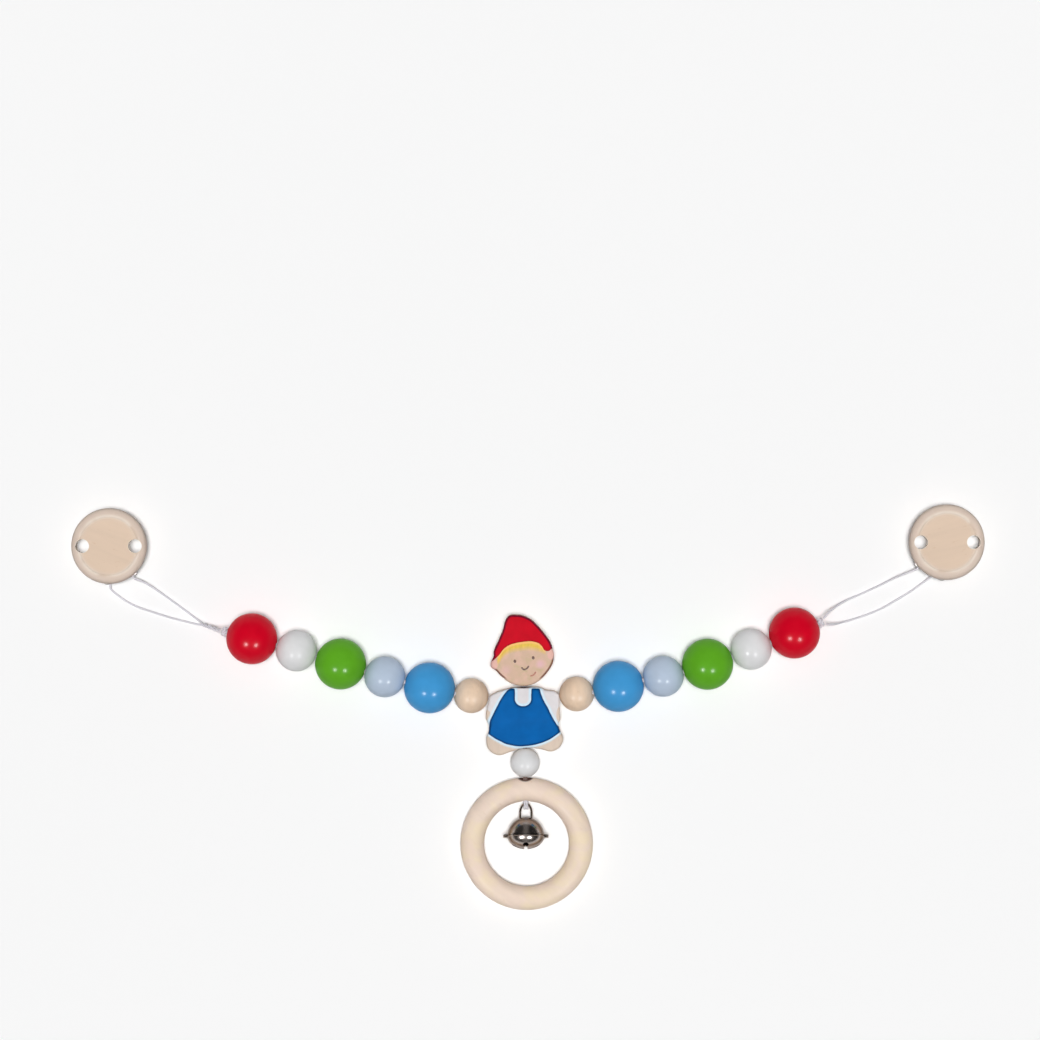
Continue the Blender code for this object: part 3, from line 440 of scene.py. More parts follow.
class Finish:
    """One material and the nodes that give it its detail."""

    def __init__(self, name, base, roughness, metallic=0.0, coat=0.0, coat_roughness=0.1):
        self.material = bpy.data.materials.new(name)
        self.material.use_nodes = True
        self.tree = self.material.node_tree
        self.shader = self.tree.nodes["Principled BSDF"]
        self.base = (*base, 1)
        self.set("Base Color", self.base)
        self.set("Roughness", roughness)
        self.set("Metallic", metallic)
        self.set("Coat Weight", coat)
        self.set("Coat Roughness", coat_roughness)
        self.material.diffuse_color = self.base

    def painted(self):
        """The base colour as it stands, to be painted over."""
        return self.shader.inputs["Base Color"].links[0].from_socket

    def set(self, socket, value):
        """Sets one of the shader's own sockets."""
        self.shader.inputs[socket].default_value = value

    def feed(self, socket, output):
        """Links one of the shader's sockets to a pattern."""
        self.tree.links.new(output, self.shader.inputs[socket])

    def node(self, kind, inputs=(), **settings):
        return add_node(self.tree, kind, inputs, **settings)

    def place(self, stretch=(1, 1, 1), turn=(0, 0, 0)):
        """The piece's own coordinates, stretched along the grain."""
        where = self.node("ShaderNodeTexCoord").outputs["Object"]
        if any(turn):
            where = self.node("ShaderNodeMapping", {"Vector": where, "Rotation": turn}).outputs[0]
        return self.node("ShaderNodeMapping", {"Vector": where, "Scale": stretch}).outputs[0]

    def axes(self):
        """The piece's own three coordinates."""
        where = self.node("ShaderNodeTexCoord").outputs["Object"]
        split = self.node("ShaderNodeSeparateXYZ", {"Vector": where})
        return split.outputs["X"], split.outputs["Y"], split.outputs["Z"]

    def noise(self, vector, scale, detail=3.0, roughness=0.5, distortion=0.0):
        """A cloudy pattern between 0 and 1."""
        made = self.node("ShaderNodeTexNoise", {"Vector": vector, "Scale": scale, "Detail": detail,
                                                "Roughness": roughness, "Distortion": distortion})
        return made.outputs["Fac"]

    def math(self, operation, first, second=0.0, third=0.0, clamp=False):
        made = self.node("ShaderNodeMath", {0: first, 1: second, 2: third},
                         operation=operation, use_clamp=clamp)
        return made.outputs[0]

    def plus(self, first, second):
        return self.math("ADD", first, second)

    def minus(self, first, second):
        return self.math("SUBTRACT", first, second)

    def times(self, first, second):
        return self.math("MULTIPLY", first, second)

    def squares(self, across, along):
        return self.plus(self.times(across, across), self.times(along, along))

    def distance(self, across, along):
        """How far a place is from the middle, from its two coordinates."""
        return self.math("SQRT", self.squares(across, along))

    def away(self, spot):
        """How far a place is from one spot of the piece."""
        where = self.node("ShaderNodeTexCoord").outputs["Object"]
        offset = self.node("ShaderNodeVectorMath", {0: where, 1: tuple(spot)}, operation="SUBTRACT")
        return self.node("ShaderNodeVectorMath", {0: offset.outputs[0]}, operation="LENGTH").outputs["Value"]

    def oval(self, x, y, centre, size):
        """Less than 1 inside an oval and more than 1 outside it."""
        return self.squares(self.math("DIVIDE", self.minus(x, centre[0]), size[0]),
                            self.math("DIVIDE", self.minus(y, centre[1]), size[1]))

    def remap(self, value, given, wanted):
        """A straight slope from one span of numbers to another, level beyond its ends."""
        return self.node("ShaderNodeMapRange", {
            "Value": value, "From Min": given[0], "From Max": given[1],
            "To Min": wanted[0], "To Max": wanted[1],
        }, clamp=True).outputs["Result"]

    def step(self, value, low, high):
        """0 below low, 1 above high, and a straight slope between them."""
        return self.remap(value, (low, high), (0.0, 1.0))

    def mix(self, share, first, second):
        """The first colour, painted over with a share of the second."""
        made = self.node("ShaderNodeMix", data_type="RGBA")
        for socket, value in ((made.inputs[0], share), (made.inputs[6], first), (made.inputs[7], second)):
            if isinstance(value, bpy.types.NodeSocket):
                self.tree.links.new(value, socket)
            else:
                socket.default_value = value if isinstance(value, (int, float)) else (*value[:3], 1)
        return made.outputs[2]

    def curve(self, value, points):
        """A line given by points: the height at each place across, both in metres."""
        low, high = points[0][0], points[-1][0]
        across = self.step(value, low, high)
        made = self.node("ShaderNodeFloatCurve", {"Value": across})
        line = made.mapping.curves[0]
        bottom = min(y for x, y in points)
        top = max(y for x, y in points)
        spread = (top - bottom) or 1
        shares = [((x - low) / (high - low), (y - bottom) / spread) for x, y in points]
        line.points[0].location, line.points[1].location = shares[0], shares[-1]
        for share in shares[1:-1]:
            line.points.new(*share)
        made.mapping.update()
        return self.math("MULTIPLY_ADD", made.outputs[0], spread, bottom)

    def bump(self, height, strength, distance):
        """Fine relief of the surface."""
        made = self.node("ShaderNodeBump", {"Height": height, "Strength": strength, "Distance": distance})
        self.feed("Normal", made.outputs[0])

    def tone(self, base, pattern, dark, light):
        """The base colour, darker and lighter with a pattern."""
        made = self.node("ShaderNodeVectorMath", {
            0: base if isinstance(base, bpy.types.NodeSocket) else base[:3],
            "Scale": self.remap(pattern, NOISE_SPAN, (dark, light)),
        }, operation="SCALE")
        return made.outputs[0]


def dimmed(base, share):
    """A share of a colour."""
    return tuple(channel * share for channel in base[:3])


def lacquer(name, base, bore, bare):
    """Glossy spray lacquer on a turned bead, thin at the bore, with the bare wood inside it."""
    finish = Finish(name, base, 0.34, coat=0.045, coat_roughness=0.2)
    finish.set("Coat IOR", 2.4)
    finish.set("Specular IOR Level", 0.03)
    skin = finish.tone(base, finish.noise(finish.place(), scale=160, detail=2), dark=0.965, light=1.03)
    across, upright, _ = finish.axes()
    inside = finish.step(finish.distance(across, upright), bore / 2 * 1.14, bore / 2 * 1.02)
    finish.feed("Base Color", finish.mix(inside, skin, dimmed(bare, 0.8)))
    speck = finish.noise(finish.place(), scale=900, detail=3)
    finish.feed("Roughness", finish.remap(speck, (0, 1), (0.28, 0.42)))
    ripple = finish.noise(finish.place((1, 1, 0.25)), scale=420, detail=2)
    finish.bump(finish.plus(ripple, finish.times(speck, 0.2)), strength=0.06, distance=0.0004)
    return finish.material


def wood(name, base, grain, turn, scale, dark, light, coat, roughness=0.5):
    """Pale close-grained wood: long fine fibres, broad soft bands and short flecks."""
    finish = Finish(name, base, roughness, coat=coat, coat_roughness=0.22)
    finish.set("Specular IOR Level", 0.05)
    where = finish.place(grain, (0, 0, turn))
    fibre = finish.noise(where, scale, 4, 0.6, 0.3)
    band = finish.noise(where, scale * 0.22, 2, 0.5, 0.6)
    pattern = finish.math("MULTIPLY_ADD", fibre, 0.45, finish.times(band, 0.55))
    short = tuple(1 if stretch < 0.5 else 3 for stretch in grain)
    fleck = finish.step(finish.noise(finish.place(short, (0, 0, turn)), scale * 0.55, 2), 0.66, 0.74)
    warm = tuple(channel * share for channel, share in zip(base, FLECK_TINT))
    finish.feed("Base Color", finish.mix(
        finish.times(fleck, 0.35), finish.tone(base, pattern, dark, light), warm))
    finish.feed("Roughness", finish.remap(fibre, (0, 1), (roughness - 0.08, roughness + 0.1)))
    finish.bump(finish.plus(fibre, finish.times(fleck, -0.4)), strength=0.25, distance=0.0002)
    return finish


def plated(name, base, roughness, scratches, grain=(1, 1, 1), edge=(1, 1, 1)):
    """Bright plating with faint rubbing marks, and its tint where it is seen edgewise."""
    finish = Finish(name, base, roughness, metallic=1.0)
    finish.set("Specular Tint", (*edge, 1))
    rub = finish.noise(finish.place(grain), 500, 4, 0.65)
    haze = finish.noise(finish.place(), scale=90, detail=2)
    wear_and_shade = finish.math("MULTIPLY_ADD", rub, 0.6, finish.times(haze, 0.4))
    finish.feed("Roughness", finish.remap(wear_and_shade, NOISE_SPAN, (roughness * 0.7, roughness * 1.5)))
    finish.feed("Base Color", finish.tone(base, haze, dark=0.93, light=1.03))
    finish.bump(rub, scratches, distance=0.0001)
    return finish.material


def elastic(name, base, wear_and_shade=None, spot=None, near=0.0, far=0.0):
    """Braided cover: two sets of threads crossing round the strand, and a darker colour of painted shade near
    one spot.
    """
    finish = Finish(name, base, 0.75)
    finish.set("Sheen Weight", 0.25)
    split = finish.node("ShaderNodeSeparateXYZ", {"Vector": finish.node("ShaderNodeUVMap").outputs[0]})
    around = finish.times(split.outputs["X"], 2 * math.pi * BRAID_THREADS)
    along = finish.times(split.outputs["Y"], 2 * math.pi * BRAID_TURNS)
    braid = finish.math("MAXIMUM", finish.math("SINE", finish.plus(around, along)),
                        finish.math("SINE", finish.minus(around, along)))
    threads = finish.mix(finish.step(braid, -0.5, 0.7), dimmed(base, 0.86), base)
    if spot:
        threads = finish.mix(finish.step(finish.away(spot), far, near), threads, wear_and_shade)
    finish.feed("Base Color", threads)
    fuzz = finish.noise(finish.place(), scale=5000, detail=3)
    finish.bump(finish.math("MULTIPLY_ADD", fuzz, 0.35, braid), strength=0.25, distance=0.0001)
    return finish.material


def moulded(name, base):
    """Dull moulded plastic."""
    finish = Finish(name, base, 0.42)
    grain = finish.noise(finish.place(), scale=1600, detail=3)
    finish.feed("Base Color", finish.tone(base, grain, dark=0.97, light=1.02))
    finish.feed("Roughness", finish.remap(grain, (0, 1), (0.36, 0.5)))
    finish.bump(grain, strength=0.15, distance=0.00008)
    return finish.material


def brushed(name, base, roughness, coat):
    """Thick brushed paint, a little uneven."""
    finish = Finish(name, base, roughness, coat=coat)
    speck = finish.noise(finish.place(), scale=2500)
    finish.feed("Base Color", finish.tone(base, speck, dark=0.85, light=1.1))
    finish.bump(speck, strength=0.1, distance=0.00005)
    return finish.material


def px(x, y):
    """A point of the photograph as a place on the table."""
    return (x - CROSSING_PX[0]) * PIXEL, (CROSSING_PX[1] - y) * PIXEL


def px_line(points):
    """Points of the photograph as places on the table."""
    return [px(*point) for point in points]


# Beads and the cord in them

def bead_profile(diameter, bore, mouth, rings=44):
    """A ball cut flat at both ends of its bore, the mouths a little rounded."""
    start = math.asin(mouth / diameter)
    half = math.cos(start) * diameter / 2
    turns = [start + (math.pi - 2 * start) * ring / rings for ring in range(rings + 1)]
    outside = [(math.sin(turn) * diameter / 2, math.cos(turn) * diameter / 2) for turn in turns]
    lip = (mouth - bore) / 2
    mouths = [(bore / 2 + lip * 0.6, half - lip * 0.08), (bore / 2 + lip * 0.15, half - lip * 0.4),
              (bore / 2, half - lip)]
    return outside + [(r, -h) for r, h in mouths] + [(r, h) for r, h in reversed(mouths)]


def bead_width(node, axis):
    """The bead's diameter, from its CAD ball's widest reach across the bore."""
    corners = [Vector(v.co) for v in frame["nodes"][node].data.vertices]
    centre = sum((Vector(end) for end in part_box(node)), Vector()) / 2
    reach = max((corner - centre).cross(axis).length for corner in corners)
    return round(2 * reach, 5)


class PRAMCHAIN_OT_beads(bpy.types.Operator):
    """Turns and lacquers the beads"""

    bl_idname = "pramchain.beads"
    bl_label = "Beads"

    def execute(self, context):
        made = context.scene.pram_beads
        oiled = wood("oiled_bead_wood", tuple(made.natural), grain=(0.2, 1, 1), turn=0.25, scale=560,
                     dark=0.87, light=1.05, coat=0.12, roughness=0.4)
        oiled.set("Coat IOR", 1.9)
        oiled.set("Coat Roughness", 0.32)
        finishes = {"natural": oiled.material}
        for name in ("blue", "light_blue", "green", "white", "red"):
            finishes[name] = lacquer(name + "_lacquer", tuple(getattr(made, name)), made.bore, made.natural)
        for side in SIDES:
            for name in BEADS:
                self.bead(made, f"{side}_{name}_bead", f"{side}_{name}_spin", finishes[name], name)
        self.bead(made, "pendant_bead", "pendant_bead_spin", finishes["white"], "white")
        return {"FINISHED"}

    def bead(self, made, node, joint, finish, slot):
        """One bead, turned to its CAD ball's width and threaded along its bore."""
        centre, axis = joint_place(joint)
        profile = bead_profile(bead_width(node, axis), made.bore, made.mouth)
        piece = lathe("turned_" + node, profile, 72, 30)
        settle(piece, facing(axis, centre), node, finish, slot, node)


def strand_pair(name, start, end, cord, twist):
    """Two strands side by side from start to end, with a little twist."""
    line = (end - start).normalized()
    frame_of = facing(line, start).to_3x3()
    routes = []
    count = max(4, round((end - start).length / 0.001))
    for sign in (-1, 1):
        route = []
        for step in range(count + 1):
            turn = twist * step / count
            across = Vector((math.cos(turn), math.sin(turn), 0)) * sign * cord.pitch / 2
            route.append(start.lerp(end, step / count) + frame_of @ across)
        routes.append(route)
    return strand(name, routes, cord.diameter, 12)


# The clips' places, and the routes of the free cord, point by point as it lies on the table
DISC_CENTRE = {"left": (-0.2035, 0.0738), "right": (0.2064, 0.0757)}
CLIP_HEADING_DEG = {"left": -72, "right": -119}
STRAP_WIRE = 0.0016
STRAP_HALF_WIDTH = 0.0082
STRAP_CORNER = 0.0018
SEAT_GAP = 0.0003
LOOP_BEND = 0.0030
LOOP_START = {"left": 0.00064, "right": 0.0016}
TWIST_END = {"left": (-0.1592, 0.0357, 0.0026), "right": (0.1471, 0.0374, 0.0125)}
TWIST_STEP_COUNT = {"left": 12, "right": 0}
TWIST_STEP_DEG = 60
LEVEL_SHARES = (0.7, 0.3)
KNOT_LENGTH = 0.0034
KNOT_WIDTH = 0.0044
KNOT_STEP_COUNT = 48
KNOT_TAIL_SHARES = ((0.1, 0.3, 0.3), (0.55, 0.5, 0.1), (0.95, 0.4, -0.5), (1.25, 0.2, -1.15))
LOOP_CROSSINGS = {"left": (0.0062, -0.0062), "right": (-0.0062, 0.0020)}
LOOP_OUT = {
    "left": ((-0.1614, 0.0380, 0.0015), (-0.1648, 0.0405, 0.0009), (-0.1712, 0.0452, 0.0008),
             (-0.1797, 0.0513, 0.0013), (-0.1862, 0.0556, 0.0036)),
    "right": ((0.1490, 0.0415, 0.0098), (0.1530, 0.0443, 0.0050), (0.1580, 0.0471, 0.0016),
              (0.1648, 0.0500, 0.0008), (0.1741, 0.0543, 0.0012), (0.1825, 0.0585, 0.0034)),
}
LOOP_BACK = {
    "left": ((-0.2030, 0.0520, 0.0012), (-0.1971, 0.0474, 0.0008), (-0.1907, 0.0440, 0.0008),
             (-0.1824, 0.0411, 0.0008), (-0.1731, 0.0382, 0.0008), (-0.1662, 0.0365, 0.0009),
             (-0.1616, 0.0354, 0.0015)),
    "right": ((0.1938, 0.0545, 0.0010), (0.1898, 0.0516, 0.0008), (0.1834, 0.0477, 0.0008),
              (0.1765, 0.0437, 0.0008), (0.1697, 0.0406, 0.0008), (0.1624, 0.0381, 0.0010),
              (0.1560, 0.0363, 0.0026), (0.1510, 0.0354, 0.0082)),
}

# The twist of the strands in a bead, the hairpin of cord in the ring, and the painted shade on the cord: grey
# near the clips' discs, and brown where it goes into the ring's bore
LINK_TWIST = 0.5
HAIRPIN_HALF_WIDTH, HAIRPIN_DROP = 0.0014, 0.0024
HAIRPIN_SHARES = (0.53, 1.7)
HAIRPIN_STEP_COUNT = 12
CLIP_SHADE_NEAR, CLIP_SHADE_FAR = 0.018, 0.075
BORE_SHADE_NEAR, BORE_SHADE_FAR = 0.0035, 0.005


def clip_frame(side):
    """The place of a clip: its disc's middle and the way it points."""
    turn = Matrix.Rotation(math.radians(CLIP_HEADING_DEG[side]), 4, "Z")
    return Matrix.Translation((*DISC_CENTRE[side], 0)) @ turn


def bar_point(side):
    """The middle of the strap bar, in the clip's own frame."""
    return clip_frame(side).inverted() @ joint_place(f"{side}_clip_swing")[0]


def loop_route(side, diameter, spacing):
    """Off the knot, to the clip, down through its strap loop, round the bar and back."""
    place, bar = clip_frame(side), bar_point(side)
    clear = STRAP_WIRE / 2 + SEAT_GAP + diameter / 2
    first, last = LOOP_CROSSINGS[side]
    toward = 1 if last > first else -1
    inner = bar.x - clear
    local = [
        (bar.x + LOOP_BEND / 2, first, bar.z + clear), (bar.x - LOOP_BEND / 6, first, bar.z + clear),
        (inner, first + toward * LOOP_BEND / 2, bar.z + clear / 2),
        (inner - LOOP_BEND / 10, (first + last) / 2, bar.z),
        (inner, last - toward * LOOP_BEND / 2, bar.z - clear / 2),
        (bar.x - LOOP_BEND / 6, last, bar.z - clear), (bar.x + LOOP_BEND / 2, last, bar.z - clear),
    ]
    route = twist(side, 1)
    route += [Vector(point) for point in LOOP_OUT[side]]
    route += [place @ Vector(point) for point in local]
    route += [Vector(point) for point in LOOP_BACK[side]]
    return smooth_route(route + twist(side, -1)[::-1], spacing)


def twist(side, sign):
    """One of the loop's two strands beside the knot, wound round the other on its way down to the table."""
    start, direction = loop_start(side)
    across = Vector((-direction.y, direction.x, 0)) * SIDES[side]
    run = Vector(TWIST_END[side]) - start
    above = run.cross(across).normalized()
    points = []
    for step in range(TWIST_STEP_COUNT[side] + 1):
        share = step / max(TWIST_STEP_COUNT[side], 1)
        turn = math.radians(TWIST_STEP_DEG * step)
        aside = across * math.cos(turn) + above * math.sin(turn)
        sag = LEVEL_SHARES[0] * share + LEVEL_SHARES[1] * share * share
        place = start + Vector((run.x * share, run.y * share, run.z * sag))
        points.append(place + aside * sign * LOOP_START[side])
    return points


def loop_start(side):
    """Where the loop leaves its knot, and the way the end bead's bore points."""
    return joint_place(f"{side}_loop_swing")[0], joint_place(f"{side}_red_spin")[1]


class PRAMCHAIN_OT_cords(bpy.types.Operator):
    """Threads the cord: the end loops, the knots and the strands in the bores"""

    bl_idname = "pramchain.cords"
    bl_label = "Cords"

    def execute(self, context):
        cord = context.scene.pram_cords
        finish = elastic("braided_elastic", tuple(cord.white))
        # Painted shade: the brown cord of the strands in the neck and in the small bead
        wear_and_shade = elastic("rubbed_elastic", tuple(cord.wear_and_shade))
        for side in SIDES:
            self.loop(side, cord)
            self.knot(side, cord, finish)
            self.links(side, cord, finish)
        self.inner(cord, finish, wear_and_shade)
        return {"FINISHED"}

    def loop(self, side, cord):
        """The free loop of cord, grey near the clip as painted shade of the raised disc."""
        route = loop_route(side, cord.diameter, cord.spacing)
        piece = strand(f"{side}_end_loop", [route], cord.diameter)
        # Painted shade: the cord turns grey towards the strap bar, under the disc
        finish = elastic(f"{side}_loop_elastic", tuple(cord.white), tuple(cord.grey), bar_point(side),
                         CLIP_SHADE_NEAR, CLIP_SHADE_FAR)
        settle(piece, Matrix.Identity(4), f"{side}_loop", finish, "cord", f"{side}_loop_cord")

    def knot(self, side, cord, finish):
        """A tight overhand knot lying across the bore, with its two cut ends against the bead."""
        end, line = loop_start(side)
        middle = end - line * (KNOT_LENGTH / 2 + SEAT_GAP)
        across = Vector((-line.y, line.x, 0)).normalized()
        up = line.cross(across)
        place = Matrix.Translation(middle) @ Matrix((across, up, line)).transposed().to_4x4()
        wide, deep = (KNOT_WIDTH - cord.diameter) / 2, (KNOT_LENGTH - cord.diameter) / 2
        turns = []
        for step in range(KNOT_STEP_COUNT + 1):
            turn = 2 * math.pi * step / KNOT_STEP_COUNT
            turns.append(place @ Vector((
                (math.sin(turn) + 2 * math.sin(2 * turn)) * wide / 2.7, -math.sin(3 * turn) * deep * 0.75,
                (math.cos(turn) - 2 * math.cos(2 * turn)) * deep / 3.3 - deep / 6,
            )))
        tails = []
        for sign in (-1, 1):
            tail = [Vector((sign * wide * x, sign * deep * y, deep * z)) for x, y, z in KNOT_TAIL_SHARES]
            tails.append(smooth_route([place @ point for point in tail], 0.0003))
        piece = strand(f"{side}_tied_knot", [turns] + tails, cord.diameter, 12)
        settle(piece, Matrix.Identity(4), f"{side}_red_link", finish, "cord", f"{side}_knot")

    def links(self, side, cord, finish):
        """The two strands in each chain bead."""
        for index, name in enumerate(BEADS):
            start = joint_place(f"{side}_{name}_bend")[0]
            if index + 1 < len(BEADS):
                end = joint_place(f"{side}_{BEADS[index + 1]}_bend")[0]
            else:
                end = joint_place(f"{side}_{name}_spin")[0] * 2 - start
            self.pair(f"{side}_{name}_strands", start, end, cord, LINK_TWIST, f"{side}_{name}_link", finish,
                      f"{side}_cord_in_{name}_bead")

    def pair(self, name, start, end, cord, twist, body, finish, node):
        """Two strands side by side, settled on their body."""
        piece = strand_pair(name, start, end, cord, twist)
        settle(piece, Matrix.Identity(4), body, finish, "cord", node)

    def inner(self, cord, finish, wear_and_shade):
        """The strands across the figure, up through it, in the head, in the small bead and in the ring."""
        left, right = (joint_place(f"{side}_natural_bend")[0] for side in SIDES)
        neck, foot = joint_place("head_tilt")[0], joint_place("pendant_swing")[0]
        up, top = joint_place("head_turn")[1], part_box("neck_cord")[1].y
        end = neck + up * (top - neck.y) / up.y
        ring = joint_place("ring_swing")[0]
        self.pair("strands_across_figure", left, right, cord, 0, "figure", finish, "chain_cord_in_body")
        self.pair("strands_up_figure", foot, neck, cord, 0, "figure", finish, "drop_cord_in_body")
        self.pair("strands_in_head", neck, end, cord, 0, "neck", wear_and_shade, "neck_cord")
        self.pair("strands_in_small_bead", foot, ring, cord, LINK_TWIST, "pendant_link", wear_and_shade, "pendant_cord")
        self.hairpin(ring, cord)

    def hairpin(self, top, cord):
        """Two strands down through the ring, round the bell's eye and back up."""
        eye = joint_place("bell_swing")[0]
        down = (eye - top).normalized()
        over = down.cross(Vector((1, 0, 0))).normalized() * HAIRPIN_HALF_WIDTH
        half, low = top.lerp(eye, 0.5), top.lerp(eye, 0.85)
        routes = []
        for sign in (-1, 1):
            inner = Vector((sign * cord.diameter * HAIRPIN_SHARES[0], 0, 0))
            outer = inner * HAIRPIN_SHARES[1]
            points = [top + over + inner, half + over + inner, low + over * 1.05 + inner]
            for step in range(HAIRPIN_STEP_COUNT + 1):
                share = step / HAIRPIN_STEP_COUNT
                angle = math.pi * share
                points.append(eye + over * math.cos(angle) + down * HAIRPIN_DROP * math.sin(angle)
                              + inner.lerp(outer, share))
            points += [low - over + outer * 0.8, half - over + inner, top - over + inner]
            routes.append(smooth_route(points, 0.0004))
        piece = strand("strand_through_ring", routes, cord.diameter)
        # Painted shade: the cord turns brown near the ring's bore
        finish = elastic("elastic_through_ring", tuple(cord.white), tuple(cord.wear_and_shade), top,
                         BORE_SHADE_NEAR, BORE_SHADE_FAR)
        settle(piece, Matrix.Identity(4), "ring_link", finish, "cord", "bell_cord")


# Figure: the outlines are shares of the CAD pieces' sizes, and the painted edges are read off the photograph
BODY_OUTLINE_SHARES = (
    (-0.29, 0.97), (0.05, 1.0), (0.37, 0.98), (0.52, 0.72), (0.74, 0.60), (0.855, 0.27), (0.875, -0.02),
    (0.885, -0.22), (0.90, -0.37), (0.855, -0.47), (0.905, -0.60), (0.97, -0.68), (0.955, -0.78),
    (0.84, -0.885), (0.64, -0.93), (0.36, -0.885), (0.0, -0.87), (-0.36, -0.935), (-0.63, -0.995),
    (-0.83, -0.955), (-0.955, -0.865), (-0.985, -0.72), (-0.93, -0.60), (-0.925, -0.47), (-0.99, -0.38),
    (-0.985, -0.24), (-0.915, -0.06), (-0.88, 0.09), (-0.80, 0.33), (-0.60, 0.66), (-0.46, 0.80),
)
BODY_HALF_WIDTH, BODY_TOP, BODY_DROP = 0.0192, 0.0047, 0.0286
HEAD_OUTLINE_SHARES = (
    (-0.37, 0.998), (-0.10, 1.0), (0.10, 0.975), (0.32, 0.92), (0.61, 0.78), (0.85, 0.635), (0.945, 0.52),
    (0.985, 0.43), (0.93, 0.30), (0.70, 0.15), (0.42, 0.045), (0.06, 0.0), (-0.34, 0.035), (-0.65, 0.135),
    (-0.82, 0.215), (-0.955, 0.255), (-0.99, 0.305), (-0.955, 0.36), (-0.895, 0.42), (-0.885, 0.50),
    (-0.73, 0.655), (-0.60, 0.80), (-0.555, 0.89), (-0.48, 0.96),
)
HEAD_HALF_WIDTH, HEAD_HEIGHT, HEAD_CENTRE_X, HEAD_BASE = 0.0157, 0.0347, -0.0013, 0.0054
FIGURE_THICKNESS = 0.014
BODY_BORE, HEAD_BORE, HEAD_BORE_DEPTH = 0.0042, 0.0035, 0.0132
HANDS = (((-0.0189, -0.0097), (0.0024, 0.0034)), ((0.0172, -0.0088), (0.0019, 0.0042)))
SHIRT_END = (-0.0175, -0.0165)
DRESS_LEFT_PX = ((734, 488.3), (730.5, 488), (726, 489.3), (722.5, 489.6), (715, 492.6), (707, 496.6),
                 (698.4, 501.2), (691.2, 506.5), (688.5, 509.4), (686, 513))
DRESS_RIGHT_PX = ((734, 559.6), (730, 560.4), (725.4, 557.5), (716.7, 552.3), (707.6, 547.7),
                  (698.9, 543.1), (690.9, 540.3), (686, 539.5))
DRESS_HEM_PX = ((485, 732), (488.3, 734), (494.4, 738), (501.8, 742), (509.9, 744.9), (519, 746.3),
                (528.8, 745.7), (538.6, 743.7), (547.7, 740.3), (555.2, 735.7), (560.1, 732), (564, 729))
DRESS_TOP_PX = 688.3
DRESS_NECK_PX = (523.1, 706.0)
DRESS_NECK_HALF_WIDTH = 0.00395
DRESS_NECK_ROUND = 0.0037
DRESS_ROUND = 0.0014
DRESS_HEM_ROUND = 0.0004
SIDE_SLOPE = 0.88
# Painted shade: a dark spot and a dark line in the neck's gap
NECK_SHADE_MARKS = (((523.7, 687.3), (0.0013, 0.0005)), ((523.5, 687.8), (0.0036, 0.0002)))
# Painted shade: the face's rounded sides between these rows are browned
SIDE_SHADE_PX = (657, 677)
SIDE_SHADE_FADE = 0.0012
CHEEKS = (((506.5, 669.5), 0.0030, 0.4), ((540.2, 664), 0.0027, 0.95))
EARS = (((494, 664.5), (0.0020, 0.0026)), ((551, 654), (0.0018, 0.0028)))
HAT_BRIM_PX = ((488, 664), (493.2, 660.4), (499.5, 654.5), (505.1, 647.8), (512.1, 644.1), (521.9, 642.0),
               (530.4, 641.3), (536.7, 642.3), (541.6, 645.7), (547.2, 651.0), (551.5, 648.8), (556, 646))
FRINGE_ENDS_PX = (497.5, 545.5)
FRINGE_PX = ((488, 668), (498, 663), (502, 657.5), (506.5, 653.3), (512.1, 650.6), (519.1, 649.4),
             (526.1, 648.4), (531.1, 648.6), (537.4, 649.6), (544.4, 652.3), (548.5, 654), (556, 652))
EYES_PX = {"left_eye": (514.9, 661.2), "right_eye": (533.2, 657.7)}
EYE_SIZE, EYE_HEIGHT, EYE_LEAN = (0.00070, 0.00085), 0.00006, 0.15
NOSE_PX = ((521.9, 667.9), (523.3, 669.2), (525.4, 669.3), (527.3, 668), (528.5, 666.4))
MOUTH_PX = ((530.9, 675.8), (532.9, 675.2), (534.5, 673.8), (535.5, 672.2))
NOSE_STROKE, MOUTH_STROKE, STROKE_HEIGHT = 0.00085, 0.00075, 0.00005
BRUSH_EDGE = 0.00008


def slab(name, outline, thickness, edge):
    """A sawn flat shape with rounded edges, lying round the height zero."""
    curve = bpy.data.curves.new(name, "CURVE")
    curve.dimensions = "2D"
    curve.fill_mode = "BOTH"
    curve.extrude = thickness / 2 - edge
    curve.bevel_depth = edge
    curve.bevel_resolution = 5
    curve.offset = -edge
    spline = curve.splines.new("POLY")
    spline.points.add(len(outline) - 1)
    for point, place in zip(spline.points, outline):
        point.co = (place[0], place[1], 0, 1)
    spline.use_cyclic_u = True
    source = bpy.data.objects.new(name, curve)
    bpy.context.scene.collection.objects.link(source)
    mesh = bpy.data.meshes.new_from_object(source.evaluated_get(bpy.context.evaluated_depsgraph_get()))
    bpy.data.objects.remove(source)
    piece = bpy.data.objects.new(name, mesh)
    bpy.context.scene.collection.objects.link(piece)
    shape = bmesh.new()
    shape.from_mesh(mesh)
    bmesh.ops.remove_doubles(shape, verts=shape.verts, dist=WELD)
    bmesh.ops.recalc_face_normals(shape, faces=shape.faces)
    shape.to_mesh(mesh)
    shape.free()
    mesh.shade_smooth()
    mesh.set_sharp_from_angle(angle=math.radians(SAWN_SHARP_DEG))
    return piece


